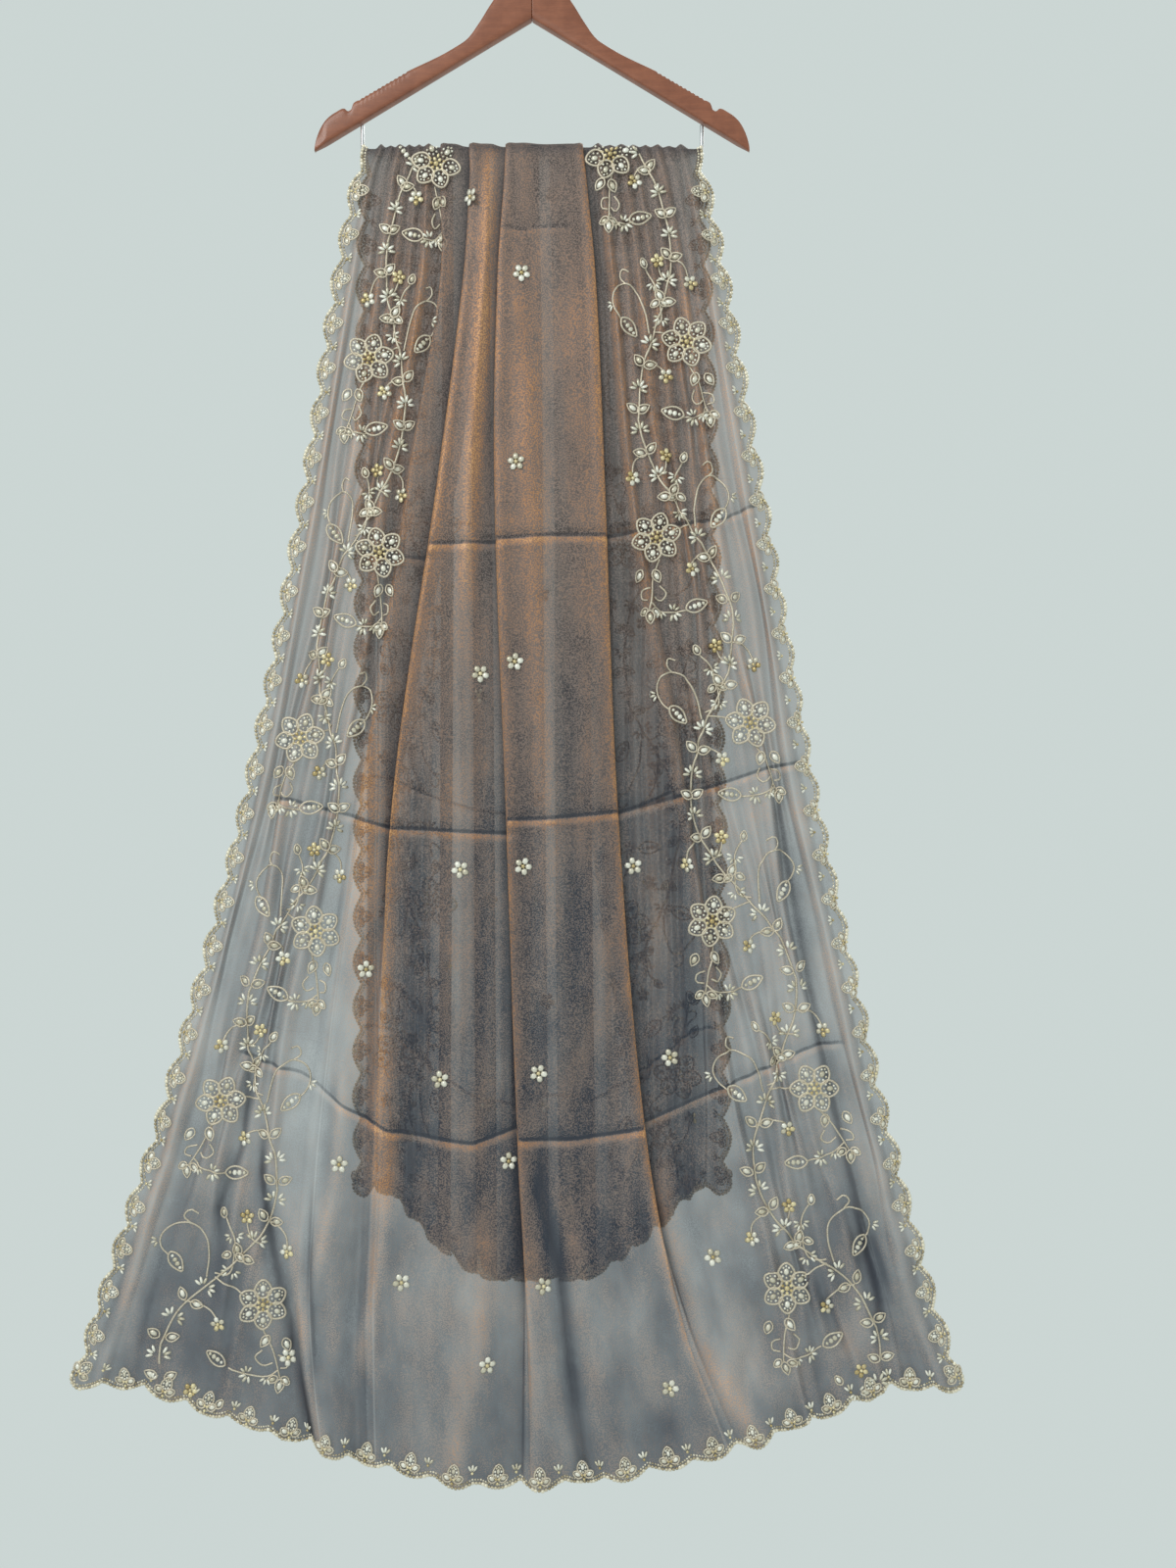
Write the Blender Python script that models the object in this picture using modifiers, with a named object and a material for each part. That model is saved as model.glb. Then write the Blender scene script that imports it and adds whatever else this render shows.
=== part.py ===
"""Long sheer stole with a scalloped beaded edge, folded over the wire bar of a wooden coat hanger.

The frame is +Z up, +X to the viewer's right and +Y away from the viewer, towards the wall. The origin is the
place under the bend of the hanger's hook where a rail carries it.

The stole is one cloth. It hangs in three stretches: the front fall, the fold over the bar and the back fall.
Each stretch is a wall lofted through level sections. A section runs from the left edge to the right edge, and
it is worked out from a few fold lines: where each line lies across the stole, and how far the cloth laps there.
All sizes below are in millimetres.
"""

import math
from collections import namedtuple

import bmesh
import bpy
from mathutils import Vector

MM = 0.001

# Hanger: two flat wooden arms, a steel hook and a steel bar on two short legs.
HANGER_THICKNESS = 12.0
ARM_JOINT_GAP = 0.3
NECK_TOP_Z = -64.0
UNDERSIDE_PEAK_Z = -114.8
TIP_X = 221.5
TIP_Z = -248.7
GROOVES = 12
GROOVE_PITCH = 4.2
GROOVE_DEPTH = 1.1
GROOVES_START_X = 127.0
HOOK_WIRE = 3.5
HOOK_INNER_RADIUS = 19.0
BAR_WIRE = 4.0
BAR_Z = -248.7
BAR_LEG_X = 173.0
BAR_BEND = 4.0
FIT_GAP = 0.3

# Cloth.
WALL = 1.0
SEAM_GAP = 0.3
CORE = BAR_WIRE / 2 + FIT_GAP + WALL / 2
FRONT_DROP = 1343.0
FRONT_SIDE_RISE = 97.0
FRONT_LEAN = 9.0
BACK_DROP = 1147.0
BACK_SIDE_RISE = 90.0
BACK_LEAN = 9.0
RISE_FULL_AT = 0.86
RISE_POWER = 1.6
LEFT_GATHERS = 6
RIGHT_GATHERS = 8
FOLD_ROWS = 3

# Scalloped edging, a beaded braid along both sides and the hem of each fall.
SCALLOP_PITCH = 46.7
SCALLOP_DEPTH = 9.0
BRAID_WIDTH = 2.5
BRAID_THICKNESS = 1.6
EDGING_GAP = 1.0
EDGING_START = 3.0

# One row for each level of a fall. share is the part of the drop below the bar, from 0 to 1. The other columns
# are distances from the hanger's middle: the two side edges, the inner line of each embroidered border, and the
# four fold lines. Folds 1 to 3 face left and fold 4 faces right, so the panel between 3 and 4 lies on top.
Lines = namedtuple("Lines", "share left_edge left_border fold_1 fold_2 fold_3 fold_4 right_border right_edge")

FRONT_LINES = (
    Lines(0.00, -161.0, -98.0, -93.0, -64.0, -27.0, 52.0, 58.0, 161.0),
    Lines(0.02, -171.5, -98.0, -93.0, -63.0, -28.0, 55.0, 61.0, 168.5),
    Lines(0.10, -192.5, -101.0, -93.0, -70.0, -35.0, 65.0, 72.0, 190.5),
    Lines(0.25, -222.5, -134.0, -124.0, -95.0, -38.0, 74.0, 88.0, 223.5),
    Lines(0.50, -281.5, -188.0, -170.0, -140.0, -26.0, 87.0, 140.0, 278.5),
    Lines(0.75, -359.5, -245.0, -213.0, -152.0, -14.0, 115.0, 192.0, 344.5),
    Lines(0.90, -417.5, -270.0, -224.0, -160.0, -3.0, 152.0, 235.0, 389.5),
    Lines(1.00, -454.5, -292.0, -212.0, -158.0, 0.0, 196.0, 262.0, 423.5),
)
BACK_LINES = (
    Lines(0.00, -161.0, -98.0, -93.0, -64.0, -27.0, 52.0, 58.0, 161.0),
    Lines(0.03, -166.0, -98.0, -93.0, -64.0, -27.0, 53.0, 59.0, 167.0),
    Lines(0.20, -169.0, -99.0, -93.0, -63.0, -25.0, 58.0, 65.0, 176.0),
    Lines(0.50, -171.0, -101.0, -95.0, -61.0, -24.0, 60.0, 68.0, 184.0),
    Lines(0.80, -172.0, -104.0, -97.0, -60.0, -22.0, 63.0, 72.0, 191.0),
    Lines(1.00, -173.0, -106.0, -99.0, -59.0, -20.0, 66.0, 76.0, 193.0),
)

# layer is the depth of one lapped layer, gather the full depth of the fine gathers, and lap_1 to lap_4 how far
# the cloth turns back under each fold line. A lap below zero is a fold that has opened into a soft ridge.
Depths = namedtuple("Depths", "share layer gather lap_1 lap_2 lap_3 lap_4")

FRONT_DEPTHS = (
    Depths(0.00, 1.8, 4.5, 12.0, 20.0, 34.0, 35.0),
    Depths(0.02, 1.9, 6.0, 12.0, 20.0, 34.0, 36.0),
    Depths(0.10, 2.5, 9.0, 4.0, 20.0, 34.0, 38.0),
    Depths(0.25, 3.2, 11.0, -3.0, 20.0, 34.0, 38.0),
    Depths(0.50, 4.2, 12.0, -6.0, 4.0, 28.0, 30.0),
    Depths(0.75, 4.8, 11.0, -10.0, -10.0, 8.0, 8.0),
    Depths(0.90, 4.8, 9.0, -10.0, -12.0, -4.0, -5.0),
    Depths(1.00, 4.4, 7.5, -10.0, -12.0, -8.0, -10.0),
)
BACK_DEPTHS = (
    Depths(0.00, 1.8, 4.5, 12.0, 20.0, 34.0, 35.0),
    Depths(0.03, 1.9, 6.0, 12.0, 20.0, 34.0, 35.0),
    Depths(0.20, 2.2, 12.0, 12.0, 20.0, 35.0, 36.0),
    Depths(0.50, 2.7, 16.0, 13.0, 21.0, 36.0, 37.0),
    Depths(0.80, 3.3, 15.5, 13.0, 22.0, 37.0, 38.0),
    Depths(1.00, 3.7, 15.0, 14.0, 22.0, 37.0, 38.0),
)

# Soft folds between the fold lines: the two lines on either side, the place between them from 0 to 1, and the
# depth at the bar and at the hem over the panel's own level.
SoftFold = namedtuple("SoftFold", "left right place at_bar at_hem")

FRONT_SOFT_FOLDS = (
    SoftFold("fold_1", "fold_2", 0.45, 0.0, 9.0),
    SoftFold("fold_2", "fold_3", 0.30, 0.0, 4.0),
    SoftFold("fold_2", "fold_3", 0.60, 0.0, 13.0),
    SoftFold("fold_3", "fold_4", 0.25, 1.2, -7.0),
    SoftFold("fold_3", "fold_4", 0.42, -0.6, 4.0),
    SoftFold("fold_3", "fold_4", 0.60, -0.6, -5.0),
    SoftFold("fold_3", "fold_4", 0.80, 0.0, 3.0),
    SoftFold("fold_4", "right_border", 0.50, 0.0, 8.0),
)
BACK_SOFT_FOLDS = (
    SoftFold("fold_1", "fold_2", 0.45, 0.0, 0.0),
    SoftFold("fold_2", "fold_3", 0.30, 0.0, 0.0),
    SoftFold("fold_2", "fold_3", 0.60, 0.0, 0.0),
    SoftFold("fold_3", "fold_4", 0.25, 1.2, 3.0),
    SoftFold("fold_3", "fold_4", 0.42, -0.6, -2.0),
    SoftFold("fold_3", "fold_4", 0.60, -0.6, 1.5),
    SoftFold("fold_3", "fold_4", 0.80, 0.0, 0.0),
    SoftFold("fold_4", "right_border", 0.50, 0.0, 0.0),
)
PANEL_FLOOR = 0.8
RAMP_SPREAD = 0.4
TREAD_DROP = 0.1
DROP_BEFORE = 3.0
HOLD_AFTER = 3.0
GATHER_UNEVENNESS = 0.2

FRONT_ROWS = (0.0, 0.02, 0.06, 0.13, 0.25, 0.38, 0.50, 0.63, 0.75, 0.88, 1.0)
BACK_ROWS = (0.0, 0.03, 0.10, 0.25, 0.50, 0.75, 0.90, 1.0)

Fall = namedtuple("Fall", "lines depths soft_folds drop rise lean side rise_from")
FRONT = Fall(FRONT_LINES, FRONT_DEPTHS, FRONT_SOFT_FOLDS, FRONT_DROP, FRONT_SIDE_RISE, FRONT_LEAN, -1, 0.0)
BACK = Fall(BACK_LINES, BACK_DEPTHS, BACK_SOFT_FOLDS, BACK_DROP, BACK_SIDE_RISE, BACK_LEAN, 1, 0.22)


def clear_scene():
    for obj in list(bpy.data.objects):
        bpy.data.objects.remove(obj, do_unlink=True)


def material(name, color, roughness, metallic=0.0):
    made = bpy.data.materials.new(name)
    made.use_nodes = True
    shader = made.node_tree.nodes["Principled BSDF"]
    shader.inputs["Base Color"].default_value = (*color, 1.0)
    shader.inputs["Roughness"].default_value = roughness
    shader.inputs["Metallic"].default_value = metallic
    return made


def add_object(collection, name, data, finish):
    obj = bpy.data.objects.new(name, data)
    obj.data.materials.append(finish)
    collection.objects.link(obj)
    return obj


def smooth_row(rows, share):
    """The table's row at this share of the drop, on a smooth curve through the table's own rows."""
    places = [row.share for row in rows]
    last = len(rows) - 2
    i = min(last, max(0, sum(place <= share for place in places) - 1))
    start, end = rows[i], rows[i + 1]
    before, after = rows[max(0, i - 1)], rows[min(len(rows) - 1, i + 2)]
    span = end.share - start.share
    s = (share - start.share) / span
    values = []
    for k in range(len(start)):
        slope_in = (end[k] - before[k]) / (end.share - before.share)
        slope_out = (after[k] - start[k]) / (after.share - start.share)
        values.append(
            (2 * s**3 - 3 * s**2 + 1) * start[k]
            + (s**3 - 2 * s**2 + s) * span * slope_in
            + (3 * s**2 - 2 * s**3) * end[k]
            + (s**3 - s**2) * span * slope_out
        )
    return type(start)(*values)


def curve_between(points):
    """Two points for each control point between the ends, on the smooth curve that they draw, without the ends."""
    curve = []
    for before, here, after in zip(points, points[1:], points[2:]):
        middle = tuple((a + b) / 2 for a, b in zip(before, here))
        near = tuple((a + 6 * b + c) / 8 for a, b, c in zip(before, here, after))
        curve += [middle, near]
    curve.append(tuple((a + b) / 2 for a, b in zip(points[-2], points[-1])))
    return curve


def gathers(count, start, end, start_depth, end_depth, depth):
    """Control points of the fine gathers of a border, from start to end across it. Each end is a hollow."""
    points = []
    steps = 2 * count + 1
    for i in range(steps):
        part = (i + 0.5 + GATHER_UNEVENNESS * math.sin(2.4 * i)) / steps
        level = start_depth + (end_depth - start_depth) * part
        crest = depth * (1.0 + 0.35 * math.sin(1.7 * i + 0.6)) if i % 2 else 0.0
        points.append((start + (end - start) * part, level + crest))
    return points


def turn_back(x, lap, layer, facing):
    """Six points where the cloth turns back under a fold's edge, then runs on over it.

    The layer below turns at x + lap and the layer on top turns at x. Where lap is below zero the fold has opened,
    and the same points rise in a soft ramp. facing is -1 for a fold whose edge faces left, and 1 for right.
    """
    round_off = min(layer / 2, max(0.0, lap) / 4)
    spread = RAMP_SPREAD * max(0.0, -lap)
    below, edge = x - facing * lap, x
    points = []
    for turn, centre, side in ((0, below, -1), (1, edge, 1)):
        for step in (-1, 0, 1):
            inset = round_off * abs(step) * side - spread * step * -1
            level = PANEL_FLOOR + turn + 0.5 + 0.5 * step - (TREAD_DROP if (turn, step) == (0, 1) else 0.0)
            points.append((centre - facing * inset, layer * level))
    return points if facing < 0 else points[::-1]


def soft_points(fall, share, left, right, start, end):
    """Control points of a panel's own soft folds, between the folds on either side of it."""
    points = []
    for fold in fall.soft_folds:
        if (fold.left, fold.right) == (left, right):
            x, depth = (a + (b - a) * fold.place for a, b in zip(start, end))
            points.append((x, depth + fold.at_bar * (1 - share) + fold.at_hem * share**2))
    return points


def section_points(fall, share):
    """Points (across, outward depth) of the level section at this share of the drop, from left to right."""
    lines = smooth_row(fall.lines, share)
    depths = smooth_row(fall.depths, share)
    layer = depths.layer
    floor = PANEL_FLOOR * layer
    folds = (
        turn_back(lines.fold_1, depths.lap_1, layer, -1),
        turn_back(lines.fold_2, depths.lap_2, layer, -1),
        turn_back(lines.fold_3, depths.lap_3, layer, -1),
        turn_back(lines.fold_4, depths.lap_4, layer, 1),
    )
    left_end, right_end = (lines.left_edge, 0.0), (lines.right_edge, 0.0)
    left_gathers = gathers(LEFT_GATHERS, lines.left_edge, lines.left_border, 0.0, floor, depths.gather)
    right_gathers = gathers(RIGHT_GATHERS, lines.right_border, lines.right_edge, floor, 0.0, depths.gather)
    points = [left_end] + curve_between([left_end] + left_gathers + [folds[0][0]]) + folds[0]
    for i in (1, 2):
        start, end = folds[i - 1][-1], folds[i][0]
        edge = min(point[0] for point in folds[i])
        drop = (edge - DROP_BEFORE, floor + 0.1 * layer)
        crest = (max(point[0] for point in folds[i - 1]) + HOLD_AFTER, start[1])
        names = (f"fold_{i}", f"fold_{i + 1}")
        soft = soft_points(fall, share, *names, crest, drop)
        points += curve_between([start, crest] + soft + [drop, end]) + folds[i]
    start, end = folds[2][-1], folds[3][0]
    soft = soft_points(fall, share, "fold_3", "fold_4", start, end)
    points += curve_between([start] + soft + [end]) + folds[3]
    start = folds[3][-1]
    edge = max(point[0] for point in folds[3])
    drop = (edge + DROP_BEFORE, floor)
    soft = soft_points(fall, share, "fold_4", "right_border", drop, (lines.right_border, floor))
    return points + curve_between([start, drop] + soft + right_gathers + [right_end]) + [right_end]


def fall_row(fall, share):
    """The section's points in space, from the left edge to the right edge."""
    lines = smooth_row(fall.lines, share)
    row = []
    for x, depth in section_points(fall, share):
        edge = lines.right_edge if x > 0 else lines.left_edge
        aside = max(0.0, (abs(x / edge) - fall.rise_from) / (RISE_FULL_AT - fall.rise_from))
        height = fall.drop * share - fall.rise * share**2 * min(1.0, aside)**RISE_POWER
        y = fall.side * (CORE + depth + fall.lean * share)
        row.append(Vector((x, y, BAR_Z - SEAM_GAP - height)) * MM)
    return row


def fold_row(turn):
    """A row of the fold over the bar. turn runs from 0 at the front to 1 at the back."""
    row = []
    for x, depth in section_points(FRONT, 0.0):
        radius = CORE + depth
        angle = math.pi * turn
        row.append(Vector((x, -radius * math.cos(angle), BAR_Z + radius * math.sin(angle))) * MM)
    return row


def cloth_wall(collection, name, rows, finish, face_out, thickness=WALL):
    """A wall of cloth through rows of points, thickened on both sides of the rows."""
    shape = bmesh.new()
    grid = [[shape.verts.new(point) for point in row] for row in rows]
    for upper, lower in zip(grid, grid[1:]):
        for a, b, c, d in zip(upper, upper[1:], lower[1:], lower):
            corners = (a, d, c, b) if face_out else (a, b, c, d)
            shape.faces.new(corners)
    mesh = bpy.data.meshes.new(name)
    shape.to_mesh(mesh)
    shape.free()
    mesh.shade_smooth()
    obj = add_object(collection, name, mesh, finish)
    wall = obj.modifiers.new("wall", "SOLIDIFY")
    wall.thickness = thickness * MM
    wall.offset = 0.0
    return obj


def lengths_along(points):
    """How far along the line each of its points lies."""
    lengths = [0.0]
    for a, b in zip(points, points[1:]):
        lengths.append(lengths[-1] + (b - a).length)
    return lengths


def point_at(points, lengths, along):
    """The point of a line at this distance along it."""
    i = max(k for k in range(len(points) - 1) if lengths[k] <= along or k == 0)
    part = (along - lengths[i]) / (lengths[i + 1] - lengths[i])
    return points[i].lerp(points[i + 1], part)


def side_stations(line):
    """Stations down one side, from just under the bar to the corner: a point and its scallop's depth there.

    The corner lies in the middle of a scallop. A scallop has a station at its cusp and one on each shoulder.
    """
    lengths = lengths_along(line)
    scallops = round(lengths[-1] / (SCALLOP_PITCH * MM))
    from_corner = [0.0]
    for i in range(scallops):
        from_corner += [i + 0.5, i + 0.8, i + 1.2]
    stations = []
    for place in reversed(from_corner[:-1]):
        point = point_at(line, lengths, lengths[-1] * (1 - place / scallops))
        if point.z < (BAR_Z - EDGING_START) * MM:
            stations.append((point, abs(math.cos(math.pi * place))))
    return stations


def side_strip(line, side):
    """The inner and outer line of the edging down one side. side is -1 at the left and 1 at the right."""
    strip = []
    stations = side_stations(line)
    for k, (point, lobe) in enumerate(stations):
        before, after = stations[max(0, k - 1)][0], stations[min(len(stations) - 1, k + 1)][0]
        down = after - before
        reach = Vector((-side * down.z, 0.0, side * down.x)).normalized()
        strip.append((point, reach, lobe))
    return strip


def hem_strip(rows):
    """The same along the hem. Its stations are the hem's own points, and the nearest one to a cusp is the cusp."""
    hem, above = rows[-1], rows[-2]
    lengths = lengths_along(hem)
    scallops = round(lengths[-1] / (SCALLOP_PITCH * MM))
    places = [scallops * length / lengths[-1] for length in lengths]
    cusps = {min(range(len(hem)), key=lambda k: abs(places[k] - i - 0.5)) for i in range(scallops)}
    strip = []
    for k, point in enumerate(hem):
        lobe = 0.0 if k in cusps else abs(math.cos(math.pi * places[k]))
        strip.append((point, (point - above[k]).normalized(), lobe))
    return strip


def edging(collection, name, rows, finish, face_out):
    """The scalloped braid round a fall: down its left side, along the hem and up its right side."""
    left = side_strip([row[0] for row in rows], -1)
    right = side_strip([row[-1] for row in rows], 1)
    hem = hem_strip(rows)
    left_corner = (hem[0][0], (left[-1][1] + hem[0][1]).normalized(), 1.0)
    right_corner = (hem[-1][0], (hem[-1][1] + right[-1][1]).normalized(), 1.0)
    strip = left + [left_corner] + hem + [right_corner] + right[::-1]
    inner = [point + reach * EDGING_GAP * MM for point, reach, lobe in strip]
    outer = [point + reach * (BRAID_WIDTH + SCALLOP_DEPTH * lobe) * MM for point, reach, lobe in strip]
    return cloth_wall(collection, name, (inner, outer), finish, face_out, BRAID_THICKNESS)


def arm_outline():
    """Corners of the right arm, from the middle of the neck round by the tip and back under the arm."""
    slope = (TIP_Z - UNDERSIDE_PEAK_Z) / TIP_X
    neck = [(0.0, NECK_TOP_Z), (12.0, -65.5), (22.0, -72.5), (34.0, -88.6), (42.5, -101.0), (54.0, -119.5),
            (66.0, -135.5), (80.0, -145.0), (GROOVES_START_X, -168.6)]
    grooves = []
    for i in range(GROOVES):
        x = GROOVES_START_X + GROOVE_PITCH * i
        z = -168.6 - 0.585 * GROOVE_PITCH * i
        grooves += [(x + 0.35 * GROOVE_PITCH, z - 0.35 * 0.585 * GROOVE_PITCH - GROOVE_DEPTH),
                    (x + GROOVE_PITCH, z - 0.585 * GROOVE_PITCH)]
    notch = [(182.0, -201.5), (183.6, -206.8), (187.2, -208.8), (190.8, -206.2)]
    end = [(199.0, -209.6), (207.0, -215.2), (214.0, -223.6), (218.8, -233.5), (221.2, -243.0), (TIP_X, TIP_Z)]
    under = [(TIP_X * part, UNDERSIDE_PEAK_Z + slope * TIP_X * part) for part in (0.66, 0.33)]
    return neck + grooves + notch + end + under + [(0.0, UNDERSIDE_PEAK_Z)]


def hanger_arm(collection, name, side, finish):
    """One flat wooden arm: its outline in the XZ plane, given its thickness along Y."""
    curve = bpy.data.curves.new(name, "CURVE")
    curve.dimensions = "2D"
    curve.fill_mode = "BOTH"
    curve.extrude = HANGER_THICKNESS / 2 * MM
    outline = [(side * (x if x > 0.0 else ARM_JOINT_GAP / 2), z) for x, z in arm_outline()]
    spline = curve.splines.new("POLY")
    spline.points.add(len(outline) - 1)
    for point, (x, z) in zip(spline.points, outline):
        point.co = (x * MM, z * MM, 0.0, 1.0)
    spline.use_cyclic_u = True
    arm = add_object(collection, name, curve, finish)
    arm.rotation_euler.x = math.pi / 2
    return arm


def wire(collection, name, points, diameter, finish):
    """A round wire along a line of points, with closed ends."""
    curve = bpy.data.curves.new(name, "CURVE")
    curve.dimensions = "3D"
    curve.bevel_depth = diameter / 2 * MM
    curve.bevel_resolution = 2
    curve.use_fill_caps = True
    spline = curve.splines.new("POLY")
    spline.points.add(len(points) - 1)
    for point, (x, z) in zip(spline.points, points):
        point.co = (x * MM, 0.0, z * MM, 1.0)
    return add_object(collection, name, curve, finish)


def hook_line():
    """The hook's middle line: up from the neck, out to the right and over the rail's place."""
    radius = HOOK_INNER_RADIUS + HOOK_WIRE / 2
    centre_z = -HOOK_INNER_RADIUS
    start_angle, end_angle = math.radians(-50), math.radians(205)
    foot = Vector((0.0, -50.0))
    joint = Vector((radius * math.cos(start_angle), centre_z + radius * math.sin(start_angle)))
    pull_up = foot + Vector((0.0, 9.0))
    pull_back = joint - Vector((-math.sin(start_angle), math.cos(start_angle))) * 7.0
    points = [(0.0, NECK_TOP_Z + FIT_GAP), (0.0, -57.0)]
    for i in range(6):
        s = i / 6
        point = (1 - s)**3 * foot + 3 * s * (1 - s)**2 * pull_up + 3 * s**2 * (1 - s) * pull_back + s**3 * joint
        points.append(tuple(point))
    steps = 18
    for i in range(steps + 1):
        angle = start_angle + (end_angle - start_angle) * i / steps
        points.append((radius * math.cos(angle), centre_z + radius * math.sin(angle)))
    return points


def bar_line():
    """The bar's middle line: down one leg, along under the cloth's fold and up the other leg."""
    slope = (TIP_Z - UNDERSIDE_PEAK_Z) / TIP_X
    leg_top = UNDERSIDE_PEAK_Z + slope * (BAR_LEG_X + BAR_WIRE / 2) - FIT_GAP
    corner = []
    for i in range(5):
        angle = math.pi / 2 * i / 4
        corner.append((BAR_LEG_X - BAR_BEND * (1 - math.cos(angle)), BAR_Z + BAR_BEND * (1 - math.sin(angle))))
    right = [(BAR_LEG_X, leg_top)] + corner
    left = [(-x, z) for x, z in reversed(right)]
    return right + left


def build():
    clear_scene()
    collection = bpy.data.collections.new("stole_on_hanger")
    bpy.context.scene.collection.children.link(collection)
    wood = material("varnished_wood", (0.33, 0.12, 0.06), 0.4)
    steel = material("steel_wire", (0.75, 0.75, 0.76), 0.3, 1.0)
    organza = material("shot_organza", (0.24, 0.16, 0.13), 0.5)
    braid = material("beaded_edging", (0.68, 0.60, 0.42), 0.45, 0.3)
    hanger_arm(collection, "hanger_arm_right", 1, wood)
    hanger_arm(collection, "hanger_arm_left", -1, wood)
    wire(collection, "hanger_hook", hook_line(), HOOK_WIRE, steel)
    wire(collection, "hanger_bar", bar_line(), BAR_WIRE, steel)
    front_rows = [fall_row(FRONT, share) for share in FRONT_ROWS]
    back_rows = [fall_row(BACK, share) for share in BACK_ROWS]
    fold_rows = [fold_row(i / FOLD_ROWS) for i in range(FOLD_ROWS + 1)]
    cloth_wall(collection, "cloth_front", front_rows, organza, True)
    cloth_wall(collection, "cloth_back", back_rows, organza, False)
    cloth_wall(collection, "cloth_over_bar", fold_rows, organza, False)
    edging(collection, "edging_front", front_rows, braid, True)
    edging(collection, "edging_back", back_rows, braid, False)


build()
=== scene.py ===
# %% [markdown]
# A dupatta is a long stole, here of sheer shot organza with beaded borders, folded over the
# bar of a coat hanger. The solids of the hanger and the cloth are already packed, and this
# lesson dresses them. The order is the tools, the cloth's form, the cloth's finish, the
# hanger, the edging, the embroidery, and the studio. All sizes of the cloth are in millimetres
# until a mesh is made, because a tailor's numbers are easier to read.

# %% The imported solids
import math
from collections import namedtuple

import bpy
import numpy as np
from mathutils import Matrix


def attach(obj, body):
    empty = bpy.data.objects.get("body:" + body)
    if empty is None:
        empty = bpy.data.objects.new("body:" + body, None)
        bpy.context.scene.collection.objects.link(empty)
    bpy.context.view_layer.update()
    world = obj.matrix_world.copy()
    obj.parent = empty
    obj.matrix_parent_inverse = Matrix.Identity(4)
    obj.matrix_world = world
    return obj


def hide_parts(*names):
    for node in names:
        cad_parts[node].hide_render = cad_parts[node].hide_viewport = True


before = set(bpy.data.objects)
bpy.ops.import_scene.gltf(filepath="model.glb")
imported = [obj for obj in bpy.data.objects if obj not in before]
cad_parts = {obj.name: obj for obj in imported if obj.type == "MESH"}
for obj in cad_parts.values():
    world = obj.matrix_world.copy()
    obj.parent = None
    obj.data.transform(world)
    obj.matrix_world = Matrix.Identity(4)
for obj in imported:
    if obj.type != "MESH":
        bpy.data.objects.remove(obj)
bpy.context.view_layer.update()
MM = 0.001
print("nodes:", sorted(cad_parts))

# %% [markdown]
# A finish is a network of nodes. Written as a list of links it is hard to read, so one small class
# wraps a socket and lets Python's own signs add the Math nodes: 1 - mask, glow * 0.4. Colours never
# pass through a Math node, because that turns them grey. They are mixed by Mix nodes instead.


# %% Sockets that can be added and multiplied
class Value:
    """A number that changes over a surface. Sums of it add Math nodes to its material."""

    def __init__(self, finish, socket):
        self.finish = finish
        self.socket = socket

    def maths(self, operation, *others):
        return self.finish.node("ShaderNodeMath", {"operation": operation}, dict(enumerate((self, *others))))

    def __add__(self, other):
        return self.maths("ADD", other)

    def __mul__(self, other):
        return self.maths("MULTIPLY", other)

    def __sub__(self, other):
        return self.maths("SUBTRACT", other)

    def __rsub__(self, other):
        return self * -1.0 + other

    __radd__ = __add__
    __rmul__ = __mul__

    def between(self, low, high):
        """0 below low, 1 above high and a soft step between them."""
        settings = {"interpolation_type": "SMOOTHSTEP"}
        return self.finish.node("ShaderNodeMapRange", settings, {0: self, 1: low, 2: high})


class Finish:
    """A material with its main shader, and the one way of adding any other node to it."""

    def __init__(self, name, **constants):
        self.material = bpy.data.materials.new(name)
        self.material.use_nodes = True
        self.tree = self.material.node_tree
        self.shader = self.tree.nodes["Principled BSDF"]
        for key, value in constants.items():
            self.feed(key.replace("_", " "), value)

    def put(self, socket, value):
        if isinstance(value, Value):
            self.tree.links.new(value.socket, socket)
        elif isinstance(value, tuple) and len(socket.default_value) == 4:
            socket.default_value = (*value, 1.0)
        else:
            socket.default_value = value

    def feed(self, socket, value):
        self.put(self.shader.inputs[socket], value)

    def node(self, kind, settings=None, inputs=None, output=0):
        made = self.tree.nodes.new(kind)
        for name, value in (settings or {}).items():
            setattr(made, name, value)
        for key, value in (inputs or {}).items():
            self.put(made.inputs[key], value)
        return Value(self, made.outputs[output])

    def mix(self, factor, first, second):
        return self.node("ShaderNodeMix", {"data_type": "RGBA"}, {0: factor, 6: first, 7: second}, output=2)

    def painted(self, name, output="Fac"):
        """A value that the mesh carries at its points."""
        return self.node("ShaderNodeAttribute", {"attribute_name": name}, output=output)

    def scaled(self, vector, factors):
        return self.node("ShaderNodeVectorMath", {"operation": "MULTIPLY"}, {0: vector, 1: factors})

    def noise(self, vector, scale, detail=2.0, roughness=0.5):
        sockets = {"Vector": vector, "Scale": scale, "Detail": detail, "Roughness": roughness}
        return self.node("ShaderNodeTexNoise", {}, sockets)

    def bump(self, height, strength, distance):
        return self.node("ShaderNodeBump", {}, {"Height": height, "Strength": strength, "Distance": distance})

    def place(self):
        return self.node("ShaderNodeTexCoord", output="Object")


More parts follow.
